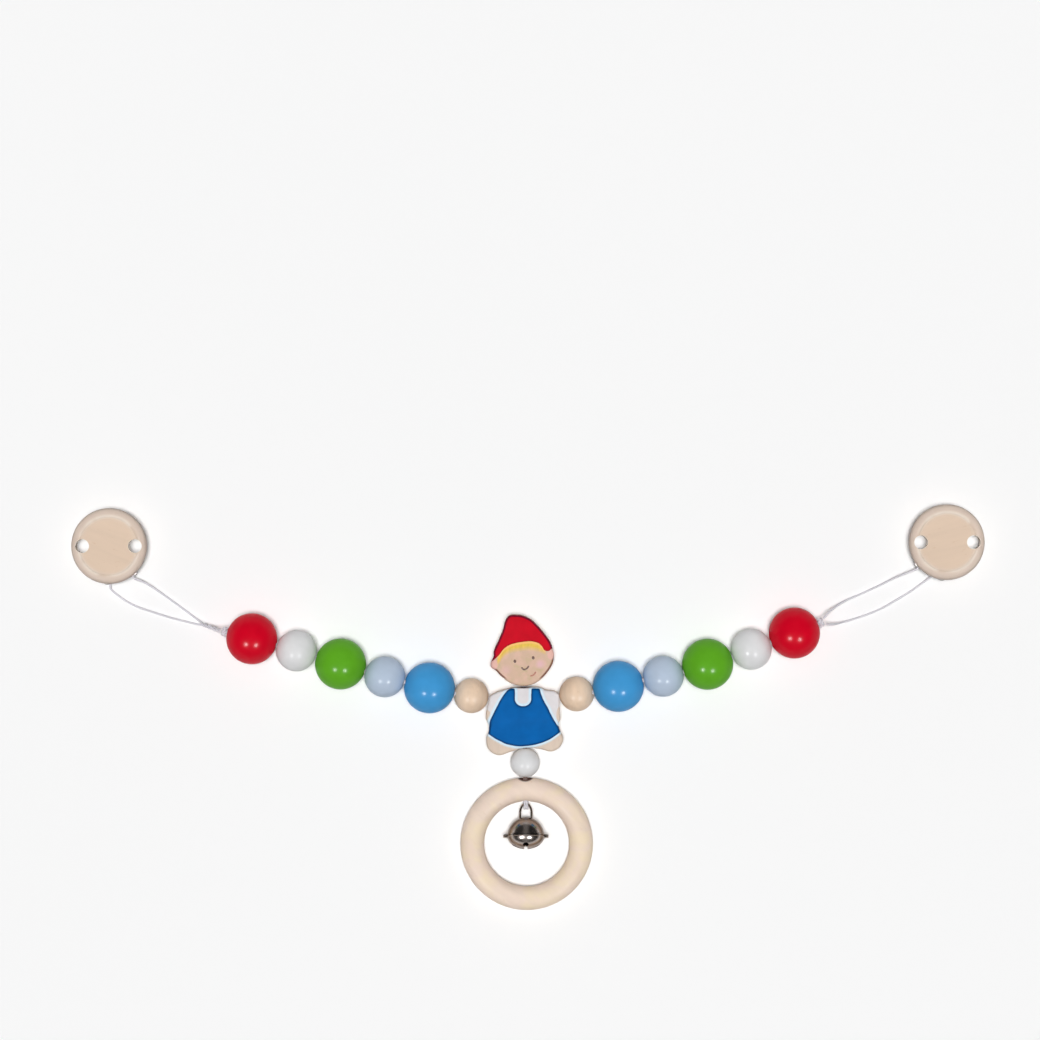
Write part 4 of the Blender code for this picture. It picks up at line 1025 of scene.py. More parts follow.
def brushed_blob(name, centre, size, height, lean):
    """A dot of paint, slightly domed."""
    corners, faces = [], []
    rings, steps = 5, 28
    for ring in range(1, rings + 1):
        turn = math.pi / 2 * ring / rings
        for step in range(steps):
            angle = 2 * math.pi * step / steps
            flat = Vector((math.cos(angle) * size[0], math.sin(angle) * size[1], 0)) * math.sin(turn)
            flat.rotate(Matrix.Rotation(lean, 3, "Z"))
            corners.append(Vector((*centre, 0)) + flat + Vector((0, 0, height * math.cos(turn))))
    top = len(corners)
    corners.append(Vector((*centre, height)))
    for step in range(steps):
        after = (step + 1) % steps
        faces.append((top, step, after))
        for ring in range(rings - 1):
            faces.append((ring * steps + step, (ring + 1) * steps + step, (ring + 1) * steps + after,
                          ring * steps + after))
    return mesh_piece(name, corners, faces)


def brushed_line(name, points, width, height):
    """A stroke of paint through its points, thicker in the middle."""
    route = smooth_route([(*point, 0) for point in points], width / 4)
    piece = strand(name, [route], width, 12)
    for vertex in piece.data.vertices:
        vertex.co.z = max(vertex.co.z, 0) * 2 * height / width
    return piece


class PRAMCHAIN_OT_figure(bpy.types.Operator):
    """Saws and paints the flat figure"""

    bl_idname = "pramchain.figure"
    bl_label = "Figure"

    def execute(self, context):
        made = context.scene.pram_figure
        self.body(made)
        self.head(made)
        return {"FINISHED"}

    def body(self, made):
        """The body, sawn out and drilled for the two cords."""
        ring = smooth_ring(BODY_OUTLINE_SHARES, 8)
        outline = [(x * BODY_HALF_WIDTH, y * (BODY_TOP if y > 0 else BODY_DROP)) for x, y in ring]
        piece = slab("painted_figure_body", outline, FIGURE_THICKNESS, made.edge)
        left, right = (joint_place(f"{side}_natural_bend")[0] for side in SIDES)
        foot, neck = joint_place("pendant_swing")[0], joint_place("head_tilt")[0]
        across = (right - left).normalized()
        bored(piece, [
            (Vector((0, 0, 0)), Vector((across.x, across.y, 0)), BODY_BORE, 3 * BODY_HALF_WIDTH),
            (Vector((neck.x, (neck.y + foot.y) / 2, 0)), Vector((0, 1, 0)), BODY_BORE, 2 * BODY_DROP),
        ])
        settle(piece, Matrix.Translation((0, 0, FIGURE_THICKNESS / 2)), "figure", self.body_paint(made),
               "body", "figure_body")

    def body_paint(self, made):
        """Bare hands and feet, a white shirt and the blue dress with its pale line."""
        finish = wood("painted_body", tuple(made.wood), grain=(0.09, 1, 1), turn=1.45, scale=520,
                      dark=0.88, light=1.05, coat=0.02)
        bare = finish.painted()
        x, y, z = finish.axes()
        wavy_x, wavy_y = self.unsteady(finish, x, y)
        front, flat = self.front(finish, z, made)
        hands = None
        for centre, size in HANDS:
            hand = finish.step(finish.oval(wavy_x, wavy_y, centre, size), 1.15, 0.85)
            hands = hand if hands is None else finish.math("MAXIMUM", hands, hand)
        shirt = finish.times(finish.step(wavy_y, *SHIRT_END), finish.minus(1.0, hands))
        white = finish.tone(tuple(made.shirt), finish.noise(finish.place(), 300, 3), 0.95, 1.02)
        skin = finish.mix(finish.times(shirt, front), bare, white)
        inside = self.dress_reach(finish, wavy_x, wavy_y)
        halo = finish.times(finish.step(inside, -0.0016, -0.0006), front)
        lined = finish.mix(halo, skin, tuple(made.line))
        blue = finish.tone(tuple(made.dress), finish.noise(finish.place(), 140, 3), 0.9, 1.08)
        # Painted shade: the dress darker over the rounded edge; it is also darker in a band along its outline
        blue = finish.mix(finish.step(inside, 0.0004, 0.0013), dimmed(made.dress, 0.4), blue)
        blue = finish.mix(flat, dimmed(made.dress, 0.4), blue)
        dress = finish.times(finish.step(inside, -BRUSH_EDGE, BRUSH_EDGE), front)
        painted = finish.mix(dress, lined, blue)
        # Painted shade: a dark spot and a dark line in the neck's gap
        for centre, size in NECK_SHADE_MARKS:
            shade_mark = finish.step(finish.oval(x, y, px(*centre), size), 1.3, 0.5)
            painted = finish.mix(finish.times(shade_mark, 0.9), painted, tuple(made.bore))
        finish.feed("Base Color", painted)
        return finish.material

    def unsteady(self, finish, x, y):
        """The two flat coordinates as an unsteady brush follows them."""
        wobble = finish.math("MULTIPLY_ADD", finish.noise(finish.place(), 380, 2), 0.0003, -0.00015)
        return finish.plus(x, wobble), finish.plus(y, wobble)

    def front(self, finish, z, made):
        """1 on the painted front, with and without its rounded edge, and 0 on the sides and the back."""
        top, edge = FIGURE_THICKNESS / 2, made.edge
        return (finish.step(z, top - edge * 1.15, top - edge * 0.95),
                finish.step(z, top - edge * 0.11, top - edge * 0.01))

    def dress_reach(self, finish, x, y):
        """How far a place lies inside the dress: its sides, hem, top and round neck."""
        reach = None
        for line, slope in ((DRESS_LEFT_PX, SIDE_SLOPE), (DRESS_RIGHT_PX, -SIDE_SLOPE)):
            points = [(px(0, across)[1], px(along, 0)[0]) for across, along in line]
            side = finish.times(finish.minus(x, finish.curve(y, points)), slope)
            reach = side if reach is None else finish.math("MINIMUM", reach, side)
        hem = finish.minus(y, finish.curve(x, px_line(DRESS_HEM_PX)))
        reach = finish.math("SMOOTH_MIN", reach, hem, DRESS_HEM_ROUND)
        top = finish.minus(px(0, DRESS_TOP_PX)[1], y)
        reach = finish.math("SMOOTH_MIN", reach, top, DRESS_ROUND)
        return finish.math("SMOOTH_MIN", reach, self.neck_reach(finish, x, y), DRESS_ROUND)

    def neck_reach(self, finish, x, y):
        """How far a place lies outside the dress's round neck."""
        middle, bottom = px(*DRESS_NECK_PX)
        aside = finish.minus(finish.math("ABSOLUTE", finish.minus(x, middle)),
                             DRESS_NECK_HALF_WIDTH - DRESS_NECK_ROUND)
        under = finish.minus(bottom + DRESS_NECK_ROUND, y)
        corner = finish.distance(finish.math("MAXIMUM", aside, 0.0), finish.math("MAXIMUM", under, 0.0))
        within = finish.math("MINIMUM", finish.math("MAXIMUM", aside, under), 0.0)
        return finish.minus(finish.plus(corner, within), DRESS_NECK_ROUND)

    def head(self, made):
        """The head with its hat, sawn out in one and drilled for the neck's cord."""
        ring = smooth_ring(HEAD_OUTLINE_SHARES, 8)
        outline = [(HEAD_CENTRE_X + x * HEAD_HALF_WIDTH, HEAD_BASE + y * HEAD_HEIGHT) for x, y in ring]
        piece = slab("painted_figure_head", outline, FIGURE_THICKNESS, made.edge)
        neck, up = joint_place("head_turn")
        middle = Vector((neck.x, neck.y, neck.z - FIGURE_THICKNESS / 2))
        bored(piece, [(middle, up, HEAD_BORE, 2 * HEAD_BORE_DEPTH)])
        settle(piece, Matrix.Translation((0, 0, FIGURE_THICKNESS / 2)), "head", self.head_paint(made),
               "head", "figure_head")
        self.features(made)

    def head_paint(self, made):
        """Skin, cheeks and ears, the fringe of hair and the red hat."""
        finish = wood("painted_head", tuple(made.face), grain=(1, 0.09, 1), turn=-0.2, scale=420,
                      dark=0.93, light=1.04, coat=0.05)
        x, y, z = finish.axes()
        wavy_x, wavy_y = self.unsteady(finish, x, y)
        front, flat = self.front(finish, z, made)
        skin = self.skin(finish, x, y, finish.math("SUBTRACT", front, flat, clamp=True), made)
        brim = finish.minus(wavy_y, finish.curve(wavy_x, px_line(HAT_BRIM_PX)))
        fringe = finish.minus(wavy_y, finish.curve(wavy_x, px_line(FRINGE_PX)))
        strands = finish.noise(finish.place((1, 0.25, 1)), 900, 3)
        hair = finish.tone(tuple(made.hair), strands, 0.9, 1.06)
        glow = finish.times(finish.step(brim, -0.0013, -0.0006), 0.95)
        hair = finish.mix(glow, hair, tuple(made.glow))
        first, last = (px(end, 0)[0] for end in FRINGE_ENDS_PX)
        within = finish.times(finish.step(wavy_x, first - 0.0004, first + 0.0004),
                              finish.step(wavy_x, last + 0.0004, last - 0.0004))
        soft = finish.times(finish.step(fringe, -0.0013, 0.0013), front)
        skin = finish.mix(finish.times(soft, within), skin, hair)
        red = finish.tone(tuple(made.hat), finish.noise(finish.place(), 140, 3), 0.9, 1.06)
        # Painted shade: the hat darker just above the brim
        red = finish.mix(finish.step(brim, 0.0, 0.0010), dimmed(made.hat, 0.55), red)
        # Painted shade: the hat's red darker over the rounded edge
        red = finish.mix(flat, tuple(made.hat_edge_shade), red)
        hat = finish.times(finish.step(brim, -BRUSH_EDGE, BRUSH_EDGE), front)
        finish.feed("Base Color", finish.mix(hat, skin, red))
        return finish.material

    def skin(self, finish, x, y, edge, made):
        """Uneven skin paint, browned as painted shade on the rounded sides of the face, with two cheeks and
        two ears.
        """
        low, high = (px(0, end)[1] for end in SIDE_SHADE_PX)
        side_shade = finish.times(finish.step(y, high - SIDE_SHADE_FADE, high),
                              finish.step(y, low + SIDE_SHADE_FADE, low))
        sallow = finish.step(finish.noise(finish.place(), 240, 2), 0.48, 0.66)
        rosy = finish.step(finish.noise(finish.place(turn=(0.6, 0.3, 1.1)), 200, 2), 0.5, 0.68)
        skin = finish.mix(finish.times(sallow, 0.7), finish.painted(), tuple(made.sallow))
        skin = finish.mix(finish.times(rosy, 0.6), skin, tuple(made.rosy))
        # Painted shade on the rounded sides of the face
        skin = finish.mix(finish.times(finish.times(side_shade, edge), 0.85), skin, tuple(made.side_shade))
        for spot, size, strength in CHEEKS:
            centre = px(*spot)
            far = finish.distance(finish.minus(x, centre[0]), finish.minus(y, centre[1]))
            blush = finish.times(finish.step(far, size, size * 0.25), strength)
            skin = finish.mix(blush, skin, tuple(made.cheek))
        for spot, size in EARS:
            ear = finish.step(finish.oval(x, y, px(*spot), size), 1.2, 0.6)
            skin = finish.mix(finish.times(ear, 0.8), skin, tuple(made.ear))
        return skin

    def features(self, made):
        """Eyes, nose and mouth, brushed on."""
        brown = brushed("brown_paint", tuple(made.feature), 0.4, 0.3)
        lip = brushed("lip_paint", tuple(made.lip), 0.45, 0.2)
        marks = [(brushed_blob(name, px(*spot), EYE_SIZE, EYE_HEIGHT, EYE_LEAN), brown)
                 for name, spot in EYES_PX.items()]
        marks.append((brushed_line("nose", px_line(NOSE_PX), NOSE_STROKE, STROKE_HEIGHT), brown))
        marks.append((brushed_line("mouth", px_line(MOUTH_PX), MOUTH_STROKE, STROKE_HEIGHT), lip))
        for piece, finish in marks:
            settle(piece, Matrix.Translation((0, 0, FIGURE_THICKNESS - 0.00001)), "head", finish, "head")


# Ring and bell: how finely the ring is turned, where its bore is browned by the drill and painted with shade,
# the bell's wire eye with its legs inside the shell, the two ears of the crimped edge, the sheet of the
# shells, and the slots
RING_STEP_COUNT, RING_SIDE_COUNT = 160, 48
SCORCH_SHADE_NEAR, SCORCH_SHADE_FAR = 0.0031, 0.0040
EYE_HALF_WIDTH, EYE_WIRE, EYE_HOLE = 0.0028, 0.0011, 0.0017
EYE_LEGS = (0.0022, 0.0004)
EYE_STEP_COUNT = 16
EAR_HALF_WIDTH = 0.0018
SHELL_WALL, SHELL_SHEET = 0.0006, 0.0005
SLOT_LENGTH, SLOT_WIDTH = 0.0109, 0.0016
SLOT_END_PLACE, SLOT_END_RADIUS = 0.0055, 0.0014


class PRAMCHAIN_OT_pendant(bpy.types.Operator):
    """Turns the ring and presses the bell"""

    bl_idname = "pramchain.pendant"
    bl_label = "Ring and bell"

    def execute(self, context):
        made = context.scene.pram_pendant
        self.ring(made)
        nickel = plated("nickel_plate", tuple(made.nickel), 0.19, 0.05, edge=(0.55, 0.5, 0.47))
        self.bell(made, nickel)
        ball = frame["nodes"]["bell_clapper"].data
        ball.materials.clear()
        ball.materials.append(nickel)
        return {"FINISHED"}

    def ring(self, made):
        """The grasping ring, turned and drilled through at its top; its bore's mouth is browned by the drill
        and darkened as painted shade.
        """
        low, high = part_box("grasping_ring")
        centre = (low + high) / 2
        middle, tube = (made.ring_width - made.ring_section) / 2, made.ring_section / 2
        corners, faces = [], []
        for step in range(RING_STEP_COUNT):
            turn = 2 * math.pi * step / RING_STEP_COUNT
            here, there = step * RING_SIDE_COUNT, (step + 1) % RING_STEP_COUNT * RING_SIDE_COUNT
            for side in range(RING_SIDE_COUNT):
                angle = 2 * math.pi * side / RING_SIDE_COUNT
                reach = middle + tube * math.cos(angle)
                corners.append((reach * math.cos(turn), reach * math.sin(turn), tube * math.sin(angle)))
                after = (side + 1) % RING_SIDE_COUNT
                faces.append((here + side, there + side, there + after, here + after))
        piece = mesh_piece("turned_grasping_ring", corners, faces)
        top, down = joint_place("ring_turn")
        start = top - centre
        bored(piece, [(start + down * made.ring_section, down, made.ring_bore, 2.2 * made.ring_section)])
        finish = wood("ring_wood", tuple(made.ring_wood), grain=(0.13, 1, 1), turn=0.7, scale=330,
                      dark=0.9, light=1.05, coat=0.06)
        turned = finish.place(turn=(0.4, 0.9, 0.2))
        yellow = finish.step(finish.noise(finish.place(), 85, 2, 0.5, 0.5), 0.46, 0.66)
        pink = finish.step(finish.noise(turned, 110, 2, 0.5, 0.5), 0.5, 0.68)
        toned = finish.mix(finish.times(yellow, 0.75), finish.painted(), tuple(made.ring_yellow))
        toned = finish.mix(finish.times(pink, 0.5), toned, tuple(made.ring_pink))
        # Browned by the drill, and darkened as painted shade of the gap under the small bead
        browned_and_shaded = finish.step(finish.away(start), SCORCH_SHADE_FAR, SCORCH_SHADE_NEAR)
        finish.feed("Base Color", finish.mix(browned_and_shaded, toned, tuple(made.bore_scorch_and_shade)))
        settle(piece, Matrix.Translation(centre), "ring", finish.material, "ring", "grasping_ring")

    def bell(self, made, nickel):
        """Two pressed shells and the wire eye. The bell lies on its side, square to its ball's slide."""
        slide = Vector(JOINTS["clapper_slide"]["axis"])
        axis = Vector((0, -slide.z, slide.y))
        place = facing(axis, joint_place("bell_swing")[0] - axis * made.eye_reach)
        upper = self.pressed("pressed_upper_shell", made, made.bell_upper)
        bored(upper, [(Vector((x, 0, made.bell_upper)), Vector((0, 0, 1)), EYE_HOLE, made.bell_upper)
                      for x in (-EYE_HALF_WIDTH, EYE_HALF_WIDTH)])
        settle(upper, place, "bell", nickel, "nickel", "bell_upper_shell")
        lower = self.pressed("pressed_lower_shell", made, made.bell_lower)
        self.slots(lower, made.bell_lower)
        flip = place @ Matrix.Rotation(math.pi, 4, "X")
        settle(lower, flip, "bell", nickel, "nickel", "bell_lower_shell")
        legs = [made.bell_upper - depth for depth in EYE_LEGS]
        wire = [Vector((EYE_HALF_WIDTH, 0, height)) for height in legs]
        for step in range(EYE_STEP_COUNT + 1):
            angle = math.pi * step / EYE_STEP_COUNT
            rise = made.eye_rise * (1 - math.sin(angle))
            wire.append(Vector((math.cos(angle) * EYE_HALF_WIDTH, 0, made.eye_reach - rise)))
        wire += [Vector((-EYE_HALF_WIDTH, 0, height)) for height in legs[::-1]]
        loop = strand("bent_bell_eye", [smooth_route(wire, 0.0004)], EYE_WIRE, 16)
        settle(loop, place, "bell", nickel, "nickel", "bell_eye")

    def pressed(self, name, made, height):
        """One shell, with its narrow flange drawn out into a rounded ear at either side."""
        shell = lathe(name, self.shell(made, height), 96, PRESSED_SHARP_DEG)
        for vertex in shell.data.vertices:
            reach = math.hypot(vertex.co.x, vertex.co.y)
            if reach > made.bell_radius + 0.00025:
                near = max(0, 1 - (vertex.co.y / EAR_HALF_WIDTH) ** 2)
                grown = 1 + (made.bell_ear / reach - 1) * math.sqrt(near)
                vertex.co.x *= grown
                vertex.co.y *= grown
        return shell

    def shell(self, made, height):
        """The section of one pressed shell, with its crimped flange."""
        radius, flange, seam = made.bell_radius, made.bell_flange, SEAT_GAP / 2
        quarter = [math.pi / 2 * step / 24 for step in range(25)]
        outer = [(radius * math.sin(turn), height * math.cos(turn)) for turn in quarter[:-1]]
        outer += [(radius, seam + SHELL_SHEET * 1.4), (radius + 0.0002, seam + SHELL_SHEET * 1.05)]
        rim = [(flange, seam + SHELL_SHEET), (flange, seam), (radius - SHELL_WALL, seam)]
        inner = [((radius - SHELL_WALL) * math.sin(turn), (height - SHELL_WALL) * math.cos(turn))
                 for turn in quarter[:-1]]
        return outer + rim + inner[:0:-1] + [(0, height - SHELL_WALL)]

    def slots(self, lower, height):
        """Two crossing slots with round ends, pressed through the lower shell."""
        cutters = []
        for quarter in (0, 1):
            turn = Matrix.Rotation(quarter * math.pi / 2, 4, "Z")
            bpy.ops.mesh.primitive_cube_add(size=1)
            size = Matrix.Diagonal((SLOT_LENGTH, SLOT_WIDTH, height, 1))
            cutters.append(bpy.context.object)
            cutters[-1].matrix_world = turn @ Matrix.Translation((0, 0, height)) @ size
            for x in (-SLOT_END_PLACE, SLOT_END_PLACE):
                bpy.ops.mesh.primitive_cylinder_add(vertices=32, radius=SLOT_END_RADIUS, depth=height)
                cutters.append(bpy.context.object)
                cutters[-1].matrix_world = turn @ Matrix.Translation((x, 0, height))
        cut_away(lower, cutters, PRESSED_SHARP_DEG)


# Clips: the disc's border, dish, rim and grain, the legs of the wire loop, and the broken edges of the metal
# and of the toothed pad
DISC_BORDER, DISH_DEPTH, DISH_SLOPE = 0.0048, 0.0005, 0.0011
DISH_STEP_COUNT, RIM_STEP_COUNT = 8, 28
RIM_ROUND = 0.85
DISC_GRAIN = {"left": 0.35, "right": -0.25}
STRAP_LEG_STARTS = (0.0117, 0.0126)
STRAP_LEG_RISE = 0.0006
STRAP_STEP_COUNT = 8
SHEET_EDGE, LEVER_EDGE, PAD_EDGE = 0.00012, 0.00022, 0.0001


class PRAMCHAIN_OT_clips(bpy.types.Operator):
    """Makes the two clips: wooden disc, sheet metal and wire"""

    bl_idname = "pramchain.clips"
    bl_label = "Clips"

    def execute(self, context):
        made = context.scene.pram_clips
        steel = plated("clip_plate", tuple(made.steel), 0.45, 0.12, grain=(0.15, 1, 1), edge=(0.7, 0.7, 0.7))
        plastic = moulded("jaw_plastic", tuple(made.plastic))
        for side in SIDES:
            self.disc(side, made)
            for metal in ("plate", "pin", "screw"):
                softened(f"{side}_clip_{metal}", SHEET_EDGE, steel, "steel", f"{side}_clip")
            softened(f"{side}_clip_lever", LEVER_EDGE, steel, "steel", f"{side}_lever", segments=3)
            softened(f"{side}_clip_cam", PAD_EDGE, plastic, "plastic", f"{side}_lever")
            self.strap_loop(side, steel)
        return {"FINISHED"}

    def disc(self, side, made):
        """The wooden disc: turned with a shallow dish and a rounded rim, and drilled with two air holes."""
        thick, radius = made.disc_thickness, made.disc / 2
        dish, floor = radius - DISC_BORDER, thick - DISH_DEPTH
        top = [(0, floor), (dish - 0.0004, floor), (dish - 0.0001, floor + 0.00003)]
        for step in range(1, DISH_STEP_COUNT + 1):
            share = step / DISH_STEP_COUNT
            top.append((dish + DISH_SLOPE * share, floor + DISH_DEPTH * share * share * (3 - 2 * share)))
        rim = []
        for step in range(1, RIM_STEP_COUNT):
            angle = math.pi * step / RIM_STEP_COUNT
            rim.append((radius - thick / 2 * RIM_ROUND * (1 - math.sin(angle)),
                        thick / 2 * (1 + math.cos(angle))))
        piece = lathe(f"{side}_turned_disc", top + rim + [(0, 0)], 128, 40)
        spacing = made.air_hole_spacing / 2
        bored(piece, [(Vector((x, 0, thick / 2)), Vector((0, 0, 1)), made.air_hole, 2 * thick)
                      for x in (-spacing, spacing)])
        finish = wood(f"{side}_disc_wood", tuple(made.wood), grain=(0.10, 1, 1), turn=DISC_GRAIN[side],
                      scale=480, dark=0.95, light=1.03, coat=0.05)
        self.border(finish, made, dish)
        self.bore_walls(finish, made)
        place = Matrix.Translation((*DISC_CENTRE[side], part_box(f"{side}_clip_disc")[0].z))
        settle(piece, place, f"{side}_clip", finish.material, "disc", f"{side}_clip_disc")

    def border(self, finish, made, dish):
        """The greyer turned border, its outermost wood darkened as painted shade, and a painted highlight
        along the dish's edge.
        """
        across, upright, _ = finish.axes()
        reach = finish.distance(across, upright)
        outer = finish.step(reach, dish - 0.0016, dish + 0.0026)
        grey = finish.mix(finish.times(outer, 0.6), finish.painted(), tuple(made.border))
        # Painted highlight: a pale patchy line along the dish's edge
        off = finish.math("ABSOLUTE", finish.minus(reach, dish + 0.0009))
        patchy = finish.step(finish.noise(finish.place(), 110, 1), 0.42, 0.58)
        line = finish.times(finish.step(off, 0.0013, 0.0002), patchy)
        bright = finish.mix(finish.times(line, 0.6), grey, tuple(made.polished))
        # Painted shade: the outermost wood of the rim darker
        outline = finish.step(reach, made.disc / 2 - 0.0010, made.disc / 2 - 0.0001)
        finish.feed("Base Color", finish.mix(finish.times(outline, 0.45), bright, tuple(made.outline)))

    def bore_walls(self, finish, made):
        """Painted light: the walls inside the two air holes made paler."""
        across, upright, _ = finish.axes()
        aside = finish.minus(finish.math("ABSOLUTE", across), made.air_hole_spacing / 2)
        reach = finish.distance(aside, upright)
        # Painted light: the hole walls made paler
        wall = finish.step(reach, made.air_hole / 2 + 0.0002, made.air_hole / 2 + 0.00005)
        finish.feed("Base Color", finish.mix(wall, finish.painted(), tuple(made.polished)))

    def strap_loop(self, side, steel):
        """The wire loop that the cord goes through: two legs off the plate and a bar across their ends."""
        bar = bar_point(side)
        leg, inner = bar.z + STRAP_LEG_RISE, bar.x - STRAP_CORNER
        points = [Vector((x, STRAP_HALF_WIDTH, leg)) for x in (*STRAP_LEG_STARTS, inner - STRAP_CORNER)]
        for step in range(STRAP_STEP_COUNT + 1):
            share = step / STRAP_STEP_COUNT
            angle = math.pi / 2 * share
            points.append(Vector((inner + STRAP_CORNER * math.sin(angle),
                                  STRAP_HALF_WIDTH - STRAP_CORNER * (1 - math.cos(angle)),
                                  leg - STRAP_LEG_RISE * (0.5 + 0.5 * share))))
        points.append(Vector((bar.x, STRAP_HALF_WIDTH / 2, bar.z)))
        other = [Vector((point.x, -point.y, point.z)) for point in points[::-1]]
        route = smooth_route(points + [Vector((bar.x, 0, bar.z))] + other, 0.0005)
        piece = strand(f"{side}_bent_strap_loop", [route], STRAP_WIRE, 16)
        settle(piece, clip_frame(side), f"{side}_clip", steel, "steel", f"{side}_clip_strap_loop")


# Table, light and camera: the table's height, just under the lowest metal, and the tones of the room from
# the table's level, 0, to straight overhead, 1
TABLE_LEVEL = -0.0002
ROOM_TONES = ((0.15, 0.10), (0.55, 0.03))
BACKDROP_TONES = ((0.05, 0.955), (0.14, 0.03), (0.8, 0.03), (0.95, 0.2))
STRIP_TONE, STRIP_SHARES = 0.24, (0.1, 0.42)


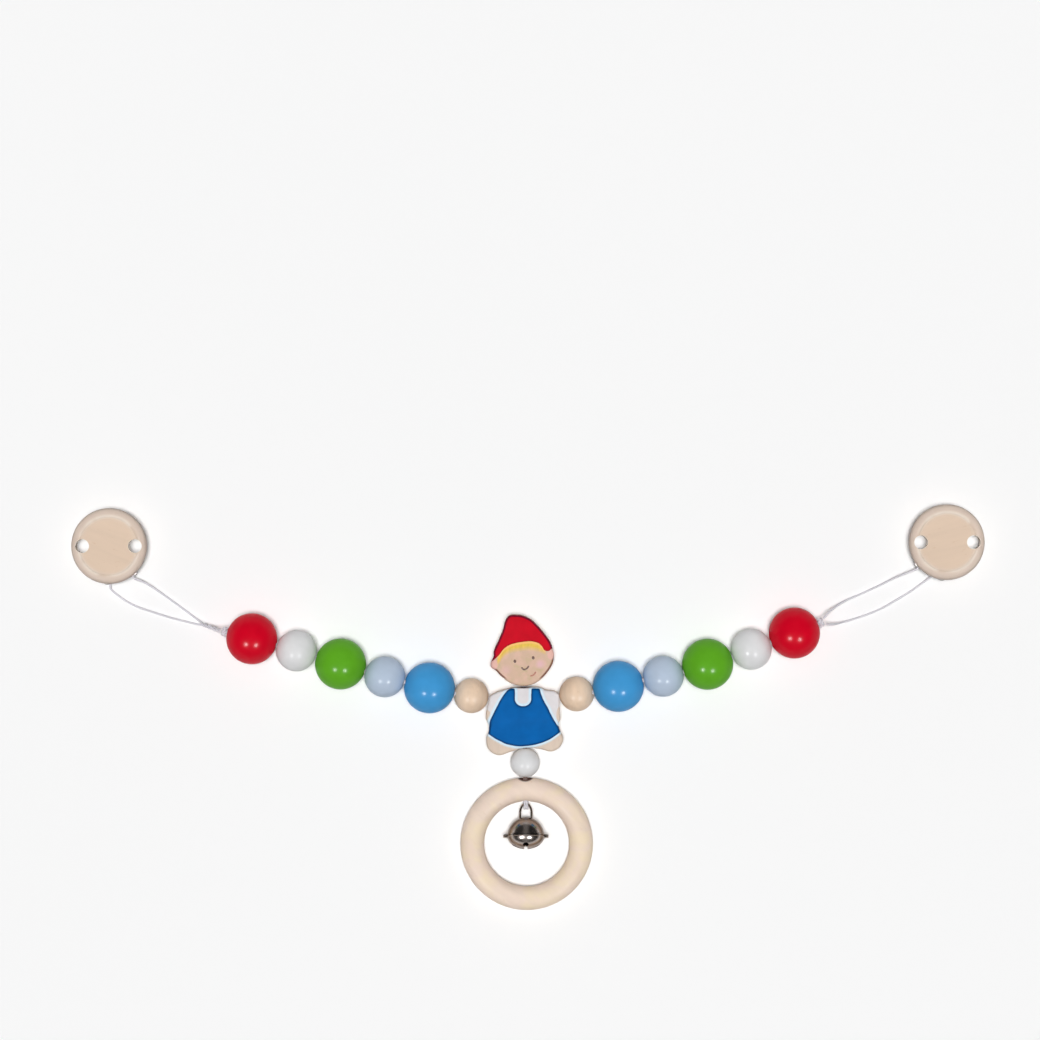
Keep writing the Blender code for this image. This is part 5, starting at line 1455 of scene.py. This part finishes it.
class PRAMCHAIN_OT_stage(bpy.types.Operator):
    """Sets the white table, the two lamps, the soft light and the camera"""

    bl_idname = "pramchain.stage"
    bl_label = "Stage"

    def execute(self, context):
        made = context.scene.pram_stage
        self.camera(context, made)
        self.table(made)
        self.lights(context, made)
        self.surroundings(context)
        context.scene.view_settings.view_transform = "Standard"
        return {"FINISHED"}

    def camera(self, context, made):
        """Straight down, as wide as the photograph's frame at the height of the beads' middle."""
        camera = bpy.data.cameras.new("photograph_camera")
        view_width = PHOTO_PX * PIXEL
        camera.lens = camera.sensor_width * made.camera_height / view_width
        camera.clip_end = 100
        thing = bpy.data.objects.new("photograph_camera", camera)
        context.scene.collection.objects.link(thing)
        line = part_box("left_red_bead")
        middle = px(PHOTO_PX / 2, PHOTO_PX / 2)
        thing.location = (*middle, (line[0].z + line[1].z) / 2 + made.camera_height)
        context.scene.camera = thing

    def table(self, made):
        """A dull white table."""
        half = made.table_width / 2
        corners = [(-half, -half, 0), (half, -half, 0), (half, half, 0), (-half, half, 0)]
        piece = mesh_piece("white_table", corners, [(0, 1, 2, 3)], smooth=False)
        piece.location.z = TABLE_LEVEL
        finish = Finish("white_table", tuple(made.table), 0.9)
        finish.set("Specular IOR Level", 0.0)
        cloud = finish.noise(finish.place(), 3, 2)
        finish.feed("Base Color", finish.tone(tuple(made.table), cloud, 0.995, 1.0))
        piece.data.materials.append(finish.material)

    def lights(self, context, made):
        """Two lamps seen only in the gloss, and a soft light from above for all the rest."""
        for index, direction in enumerate(LAMP_DIRECTIONS):
            lamp = self.sun(context, f"lamp_{index + 1}", direction, made.lamp, made.lamp_angle)
            lamp.visible_diffuse = False
        fill = self.sun(context, "soft_light", FILL_DIRECTION, made.fill, made.fill_angle)
        fill.visible_glossy = False

    def sun(self, context, name, direction, strength, angle):
        """A lamp so far away that only its direction counts."""
        lamp = bpy.data.lights.new(name, "SUN")
        lamp.energy = strength
        lamp.angle = angle
        thing = bpy.data.objects.new(name, lamp)
        context.scene.collection.objects.link(thing)
        thing.rotation_mode = "QUATERNION"
        thing.rotation_quaternion = Vector(direction).to_track_quat("Z", "Y")
        return thing

    def surroundings(self, context):
        """A dim room. The pale backdrop and the grey ceiling show only to the eye and in the gloss."""
        world = bpy.data.worlds.new("studio")
        context.scene.world = world
        world.use_nodes = True
        tree = world.node_tree
        where = add_node(tree, "ShaderNodeTexCoord").outputs["Generated"]
        split = add_node(tree, "ShaderNodeSeparateXYZ", {0: where}).outputs
        room, backdrop = tree.nodes["Background"], tree.nodes.new("ShaderNodeBackground")
        tree.links.new(self.glow(tree, split["Z"], ROOM_TONES), room.inputs["Color"])
        pale = self.strip(tree, split["X"], self.glow(tree, split["Z"], BACKDROP_TONES))
        tree.links.new(pale, backdrop.inputs["Color"])
        rays = add_node(tree, "ShaderNodeLightPath").outputs
        shown = rays["Is Camera Ray"]
        for ray in ("Is Glossy Ray", "Is Transmission Ray"):
            shown = add_node(tree, "ShaderNodeMath", {0: shown, 1: rays[ray]}, operation="MAXIMUM").outputs[0]
        either = add_node(tree, "ShaderNodeMixShader", {0: shown, 1: room.outputs[0], 2: backdrop.outputs[0]})
        tree.links.new(either.outputs[0], tree.nodes["World Output"].inputs["Surface"])

    def glow(self, tree, height, tones):
        """Tones from the table's level to straight overhead."""
        ramp = add_node(tree, "ShaderNodeValToRGB", {"Fac": height})
        while len(ramp.color_ramp.elements) < len(tones):
            ramp.color_ramp.elements.new(0.5)
        for stop, (position, tone) in zip(ramp.color_ramp.elements, tones):
            stop.position = position
            stop.color = (tone, tone, tone, 1)
        return ramp.outputs["Color"]

    def strip(self, tree, across, glow):
        """A dim strip of soft light along the ceiling, over the figure and the ring."""
        aside = add_node(tree, "ShaderNodeMath", {0: across}, operation="ABSOLUTE").outputs[0]
        fade = add_node(tree, "ShaderNodeMapRange", {
            "Value": aside, "From Min": STRIP_SHARES[0], "From Max": STRIP_SHARES[1],
            "To Min": STRIP_TONE, "To Max": 0}).outputs["Result"]
        return add_node(tree, "ShaderNodeMath", {0: glow, 1: fade}, operation="MAXIMUM").outputs[0]


class PRAMCHAIN_PT_panel(bpy.types.Panel):
    """Lists the pieces and their sizes and colours"""

    bl_idname = "PRAMCHAIN_PT_panel"
    bl_label = "Pram chain"
    bl_space_type = "VIEW_3D"
    bl_region_type = "UI"
    bl_category = "Pram chain"

    def draw(self, context):
        for operator, group in STEPS:
            self.layout.operator(operator.bl_idname)
            values = getattr(context.scene, group)
            for name in values.bl_rna.properties.keys():
                if name not in ("rna_type", "name"):
                    self.layout.prop(values, name)


STEPS = (
    (PRAMCHAIN_OT_stage, "pram_stage"),
    (PRAMCHAIN_OT_cords, "pram_cords"),
    (PRAMCHAIN_OT_beads, "pram_beads"),
    (PRAMCHAIN_OT_figure, "pram_figure"),
    (PRAMCHAIN_OT_pendant, "pram_pendant"),
    (PRAMCHAIN_OT_clips, "pram_clips"),
)
GROUPS = {
    "pram_stage": StageProperties, "pram_cords": CordProperties, "pram_beads": BeadProperties,
    "pram_figure": FigureProperties, "pram_pendant": PendantProperties, "pram_clips": ClipProperties,
}


def register():
    for name, group in GROUPS.items():
        bpy.utils.register_class(group)
        setattr(bpy.types.Scene, name, PointerProperty(type=group))
    for operator, _ in STEPS:
        bpy.utils.register_class(operator)
    bpy.utils.register_class(PRAMCHAIN_PT_panel)


def unregister():
    bpy.utils.unregister_class(PRAMCHAIN_PT_panel)
    for operator, _ in reversed(STEPS):
        bpy.utils.unregister_class(operator)
    for name, group in GROUPS.items():
        delattr(bpy.types.Scene, name)
        bpy.utils.unregister_class(group)


def main():
    """Makes every piece and the stage."""
    register()
    for operator, _ in STEPS:
        area, name = operator.bl_idname.split(".")
        getattr(getattr(bpy.ops, area), name)()


if __name__ == "__main__":
    main()
